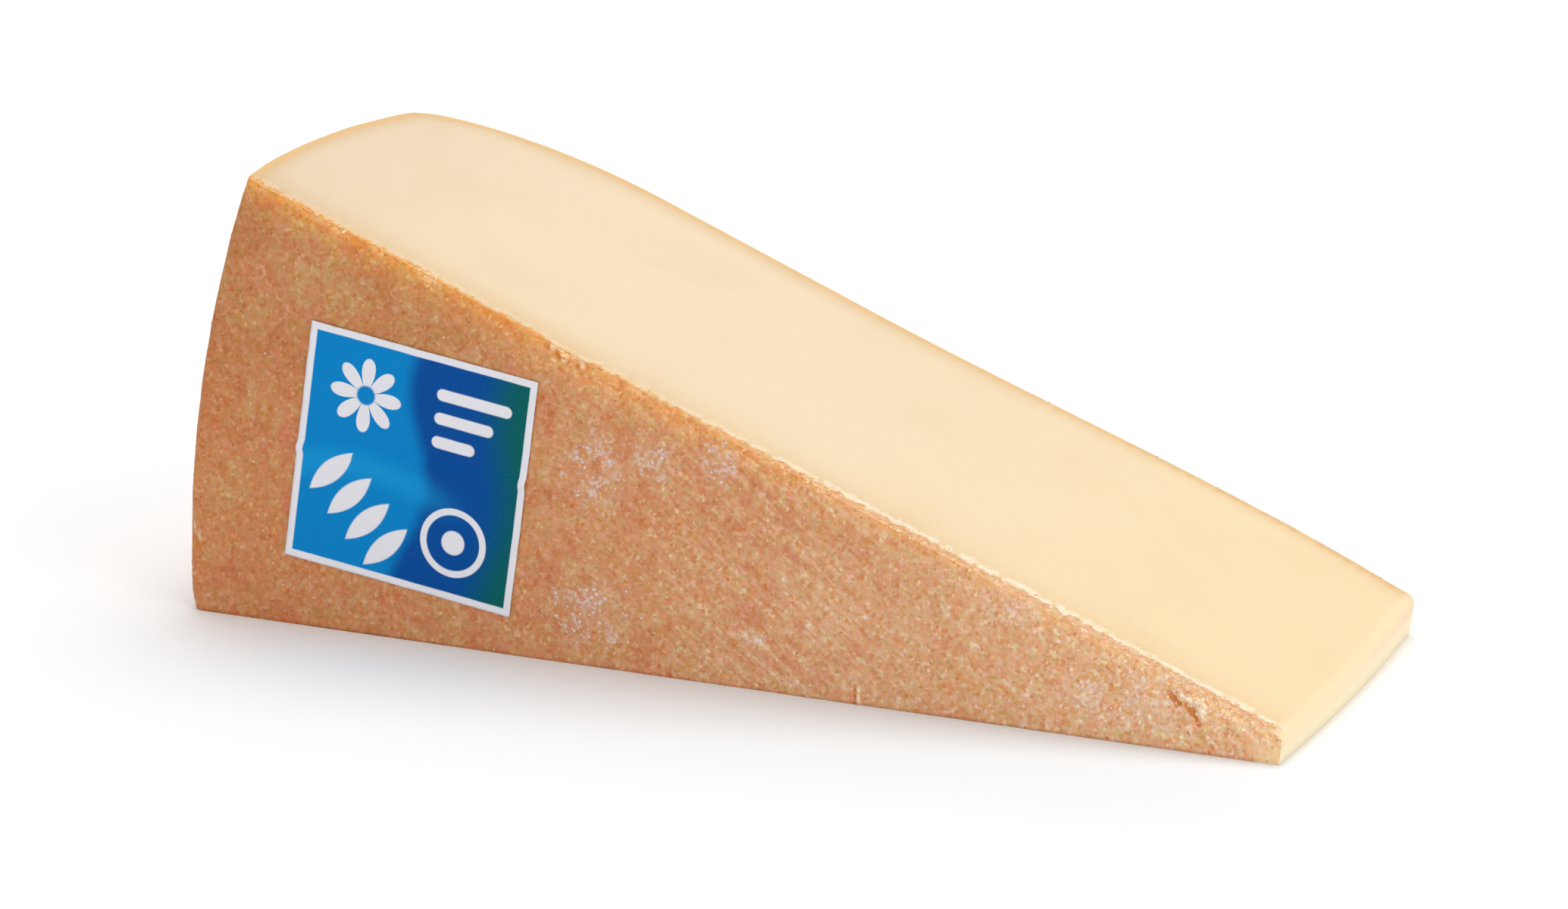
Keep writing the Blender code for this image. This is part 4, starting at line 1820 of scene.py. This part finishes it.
@dataclass
class PaperLabel:
    """The square paper label, turned on the rind, with one low fold running across it."""

    wheel: Wheel
    side: float = 50 * MM
    thickness: float = 0.2 * MM
    gap: float = 0.12 * MM
    corner_x: float = -89.6 * MM
    corner_z: float = 64.3 * MM
    turn: float = math.radians(7.7)
    fold_left: float = 26.9 * MM
    fold_right: float = 21.9 * MM
    fold_height: float = 0.45 * MM
    fold_half_width: float = 1.8 * MM
    left_bulge: float = 0.15 * MM
    right_dent: float = 0.1 * MM
    curl_height: float = 0.22 * MM
    curl_share: float = 0.05
    start: float = 10 * MM
    ray_length: float = 40 * MM
    columns: int = 90
    rows: int = 120

    def paper(self) -> bpy.types.Mesh:
        """The flat sheet standing upright before the rind.

        Returns:
            The sheet's mesh, with a UV map and with how far each point stands off the rind.
        """
        shares = (np.linspace(0, 1, steps) for steps in (self.columns, self.rows))
        across, down = (grid.ravel() for grid in np.meshgrid(*shares, indexing="ij"))
        a, d = across * self.side, down * self.side
        line = self.fold_left + (self.fold_right - self.fold_left) * across
        ridge = 0.5 * (1 + np.cos(np.pi * np.clip(np.abs(d - line) / self.fold_half_width, 0, 1)))
        height = ridge * self.fold_height * (0.75 + 0.35 * ragged(a, 6 * MM, 11))
        left, right = (1 - across) ** 6, across**6
        a = a - ridge * (self.left_bulge * left + self.right_dent * right)
        edge = np.minimum(np.minimum(across, 1 - across), np.minimum(down, 1 - down))
        curl = self.curl_height * eased(1 - edge / self.curl_share) * ragged(a + d * 1.7, 5 * MM, 12)
        cosine, sine = math.cos(self.turn), math.sin(self.turn)
        x = self.corner_x + a * cosine - d * sine
        z = self.corner_z - a * sine - d * cosine
        places = np.stack((x, np.full(len(x), self.wheel.near_y), z), 1)
        number = np.arange(len(places)).reshape(self.columns, self.rows)
        ring = (number[:-1, :-1], number[:-1, 1:], number[1:, 1:], number[1:, :-1])
        faces = np.stack([corner.ravel() for corner in ring], 1)
        mesh = bpy.data.meshes.new("paper")
        mesh.from_pydata(places.tolist(), [], faces.tolist())
        CheeseWedge.keep(mesh, "stand_off", height + curl)
        flat = mesh.uv_layers.new(name="UVMap")
        corners = np.zeros(len(mesh.loops), np.int32)
        mesh.loops.foreach_get("vertex_index", corners)
        uv = np.stack((across[corners], down[corners]), 1)
        flat.data.foreach_set("uv", uv.astype(np.float32).ravel())
        return mesh

    def lay(self, ground: bpy.types.Object, paper: bpy.types.Material) -> ShapeSheet:
        """The tree that lays the sheet on the rind behind it.

        Args:
            ground: the finished wedge.
            paper: the label's material.

        Returns:
            The tree.
        """
        sheet = ShapeSheet("label_on_rind", {"Gap": self.gap, "Start": self.start})
        rind = sheet.node("GeometryNodeObjectInfo", transform_space="ORIGINAL")
        rind.inputs["Object"].default_value = ground
        place = sheet.place()
        x, y, z = sheet.split(place)
        source = sheet.joined(x, y - sheet.size("Start"), z)
        ray = sheet.node("GeometryNodeRaycast")
        sheet.feed(
            ray,
            {
                "Target Geometry": Field(sheet, rind.outputs["Geometry"]),
                "Source Position": source,
                "Ray Direction": (0.0, 1.0, 0.0),
                "Ray Length": self.ray_length,
            },
        )
        _, met, _ = sheet.split(Field(sheet, ray.outputs["Hit Position"]))
        stand = sheet.attribute("stand_off") + sheet.size("Gap")
        laid = sheet.joined(x, met - stand, z)
        shape = sheet.step("GeometryNodeSetPosition", sheet.shape(), {"Position": laid})
        shape = sheet.step("GeometryNodeSetShadeSmooth", shape, {})
        sheet.close(shape, {"": paper})
        return sheet

    def build(self, ground: bpy.types.Object, finish: PaperFinish) -> bpy.types.Object:
        """Lays the label on the rind.

        Args:
            ground: the finished wedge.
            finish: the paper's finish.

        Returns:
            The finished piece.
        """
        tree = self.lay(ground, finish.material())
        label = tree.grow("paper_label", self.paper())
        label.data.attributes.remove(label.data.attributes["stand_off"])
        thick = label.modifiers.new("paper", "SOLIDIFY")
        thick.thickness = self.thickness
        thick.offset = 1.0
        settle(label, "label_paper", "label")
        return label


@dataclass
class Studio:
    """The floor, the soft lights and the camera."""

    target: tuple[float, float, float] = (-5.08 * MM, -3.7 * MM, 35.6 * MM)
    azimuth: float = math.radians(24.092)
    elevation: float = math.radians(17.606)
    distance: float = 2.35
    lens: float = 270.75
    sensor: float = 36.0
    sight: float = 50.0
    sky_strength: float = 0.53
    floor_side: float = 12.0
    floor_near: Colour = (0.84, 0.845, 0.845, 1.0)
    floor_far: Colour = (0.91, 0.91, 0.91, 1.0)
    # painted shadow: darker, cooler floor in front of the wedge
    floor_shadow_tone: Colour = (0.89, 0.925, 0.945, 1.0)
    floor_left: Colour = (1.04, 1.045, 1.05, 1.0)
    floor_grain: Colour = (0.98, 0.98, 0.98, 1.0)
    floor_far_y: Band = (-40 * MM, 160 * MM)
    floor_left_x: Band = (-100 * MM, -220 * MM)
    shade_start_x: Band = (-110 * MM, 20 * MM)
    shade_end_x: Band = (160 * MM, 90 * MM)
    shade_y: Band = (-65 * MM, 65 * MM)
    floor_patch: float = 0.4

    def camera(self) -> None:
        """Places the camera on the photograph's line of sight."""
        data = bpy.data.cameras.new("camera")
        data.lens = self.lens
        data.sensor_width = self.sensor
        data.clip_end = self.sight
        view = placed("camera", data)
        flat = math.cos(self.elevation)
        right, near = math.sin(self.azimuth) * flat, math.cos(self.azimuth) * flat
        back = Vector((right, -near, math.sin(self.elevation)))
        view.location = Vector(self.target) + back * self.distance
        view.rotation_euler = back.to_track_quat("Z", "Y").to_euler()
        bpy.context.scene.camera = view

    def floor(self) -> None:
        """A wide pale floor, with a painted shadow in front of the wedge."""
        sheet = SurfaceSheet("floor")
        place = sheet.place()
        grain = sheet.cloud(place, self.floor_patch, 60.0)
        x, y, _ = sheet.split(place)
        ground = sheet.mix(self.floor_near, self.floor_far, y.rise(*self.floor_far_y))
        # painted shadow: the floor darkened and cooled in a band in front of the wedge
        right = x.rise(*self.shade_start_x) * x.rise(*self.shade_end_x) * y.bell(*self.shade_y)
        ground = sheet.shade(ground, self.floor_shadow_tone, right)
        ground = sheet.shade(ground, self.floor_left, x.rise(*self.floor_left_x))
        ground = sheet.shade(ground, self.floor_grain, grain.rise(0.4, 0.7))
        sheet.coat(ground, 0.6, 0.3)
        half = self.floor_side / 2
        mesh = bpy.data.meshes.new("floor")
        corners = ((-half, -half, 0), (half, -half, 0), (half, half, 0), (-half, half, 0))
        mesh.from_pydata(corners, [], [(0, 1, 2, 3)])
        mesh.materials.append(sheet.material)
        floor = placed("floor", mesh)

    def lamp(self, name: str, place: tuple[float, float, float], size: float, power: float) -> None:
        """One soft square lamp that faces the wedge.

        Args:
            name: the lamp's name.
            place: where it stands, in metres.
            size: its side, in metres.
            power: its power, in watts.
        """
        data = bpy.data.lights.new(name, "AREA")
        data.size = size
        data.energy = power
        lamp = placed(name, data)
        lamp.location = place
        lamp.rotation_euler = (Vector(place) - Vector(self.target)).to_track_quat("Z", "Y").to_euler()

    def sun(self, back: float, right: float, power: float, width: float) -> None:
        """A wide soft light from above.

        Args:
            back, right: how far it leans back and to the right, as angles.
            power: its strength.
            width: how wide it is, as an angle.
        """
        data = bpy.data.lights.new("sky_panel", "SUN")
        data.energy = power
        data.angle = width
        lamp = placed("sky_panel", data)
        up = Vector((math.sin(right), math.sin(back), math.cos(back) * math.cos(right)))
        lamp.rotation_euler = up.to_track_quat("Z", "Y").to_euler()

    def build(self) -> None:
        """Sets up the whole studio."""
        scene = bpy.context.scene
        scene.view_settings.view_transform = "Standard"
        scene.view_settings.look = "None"
        world = bpy.data.worlds.new("studio")
        world.use_nodes = True
        scene.world = world
        sky = world.node_tree.nodes["Background"]
        sky.inputs["Color"].default_value = (1.0, 1.0, 1.0, 1.0)
        sky.inputs["Strength"].default_value = self.sky_strength
        self.sun(back=math.radians(12), right=math.radians(-0.5), power=2.0, width=math.radians(50))
        self.lamp("fill", (-0.6, -1.6, 0.9), size=1.4, power=3.5)
        self.lamp("side", (1.3, -0.7, 0.4), size=1.0, power=6.5)
        self.floor()
        self.camera()


def main() -> None:
    """Builds the pieces in order and reports each one."""
    logging.basicConfig(level=logging.INFO, format="%(name)s: %(message)s")
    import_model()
    wheel = Wheel()
    breaks = RindBreaks()
    wedge = CheeseWedge(wheel, breaks).build(RindFinish(), PasteFinish())
    LOG.info("wedge body: %d faces", len(wedge.data.polygons))
    grain_finish = SpeckFinish(
        "rind_grain", tint(190, 112, 66), tint(200, 146, 104), tint(222, 184, 150), (1.12, 1.32, 1.5, 1.0)
    )
    bloom_finish = SpeckFinish(
        "bloom", tint(204, 168, 152), tint(210, 187, 179), tint(221, 204, 199), (1.18, 1.13, 1.0, 1.0)
    )
    crumb_finish = SpeckFinish("crumb", tint(226, 168, 104), tint(240, 208, 162), tint(250, 234, 204))
    pieces = (
        Scatter(
            "rind_grains",
            grain_finish,
            density=220_000,
            size=0.62 * MM,
            smallest=0.35,
            flatness=0.42,
            seed=21,
        ),
        Bloom(
            "bloom_flakes",
            bloom_finish,
            density=1_100_000,
            size=0.95 * MM,
            smallest=0.4,
            flatness=0.25,
            seed=31,
        ),
        Crumbs(
            "edge_crumbs",
            crumb_finish,
            density=3_500_000,
            size=0.85 * MM,
            smallest=0.3,
            flatness=0.55,
            seed=41,
            unevenness=0.45,
        ),
    )
    for piece in pieces:
        made = piece.build(wedge)
        LOG.info("%s: %d faces", made.name, len(made.data.polygons))
    label = PaperLabel(wheel).build(wedge, PaperFinish())
    LOG.info("paper label: %d faces", len(label.data.polygons))
    Studio().build()


if __name__ == "__main__":
    main()
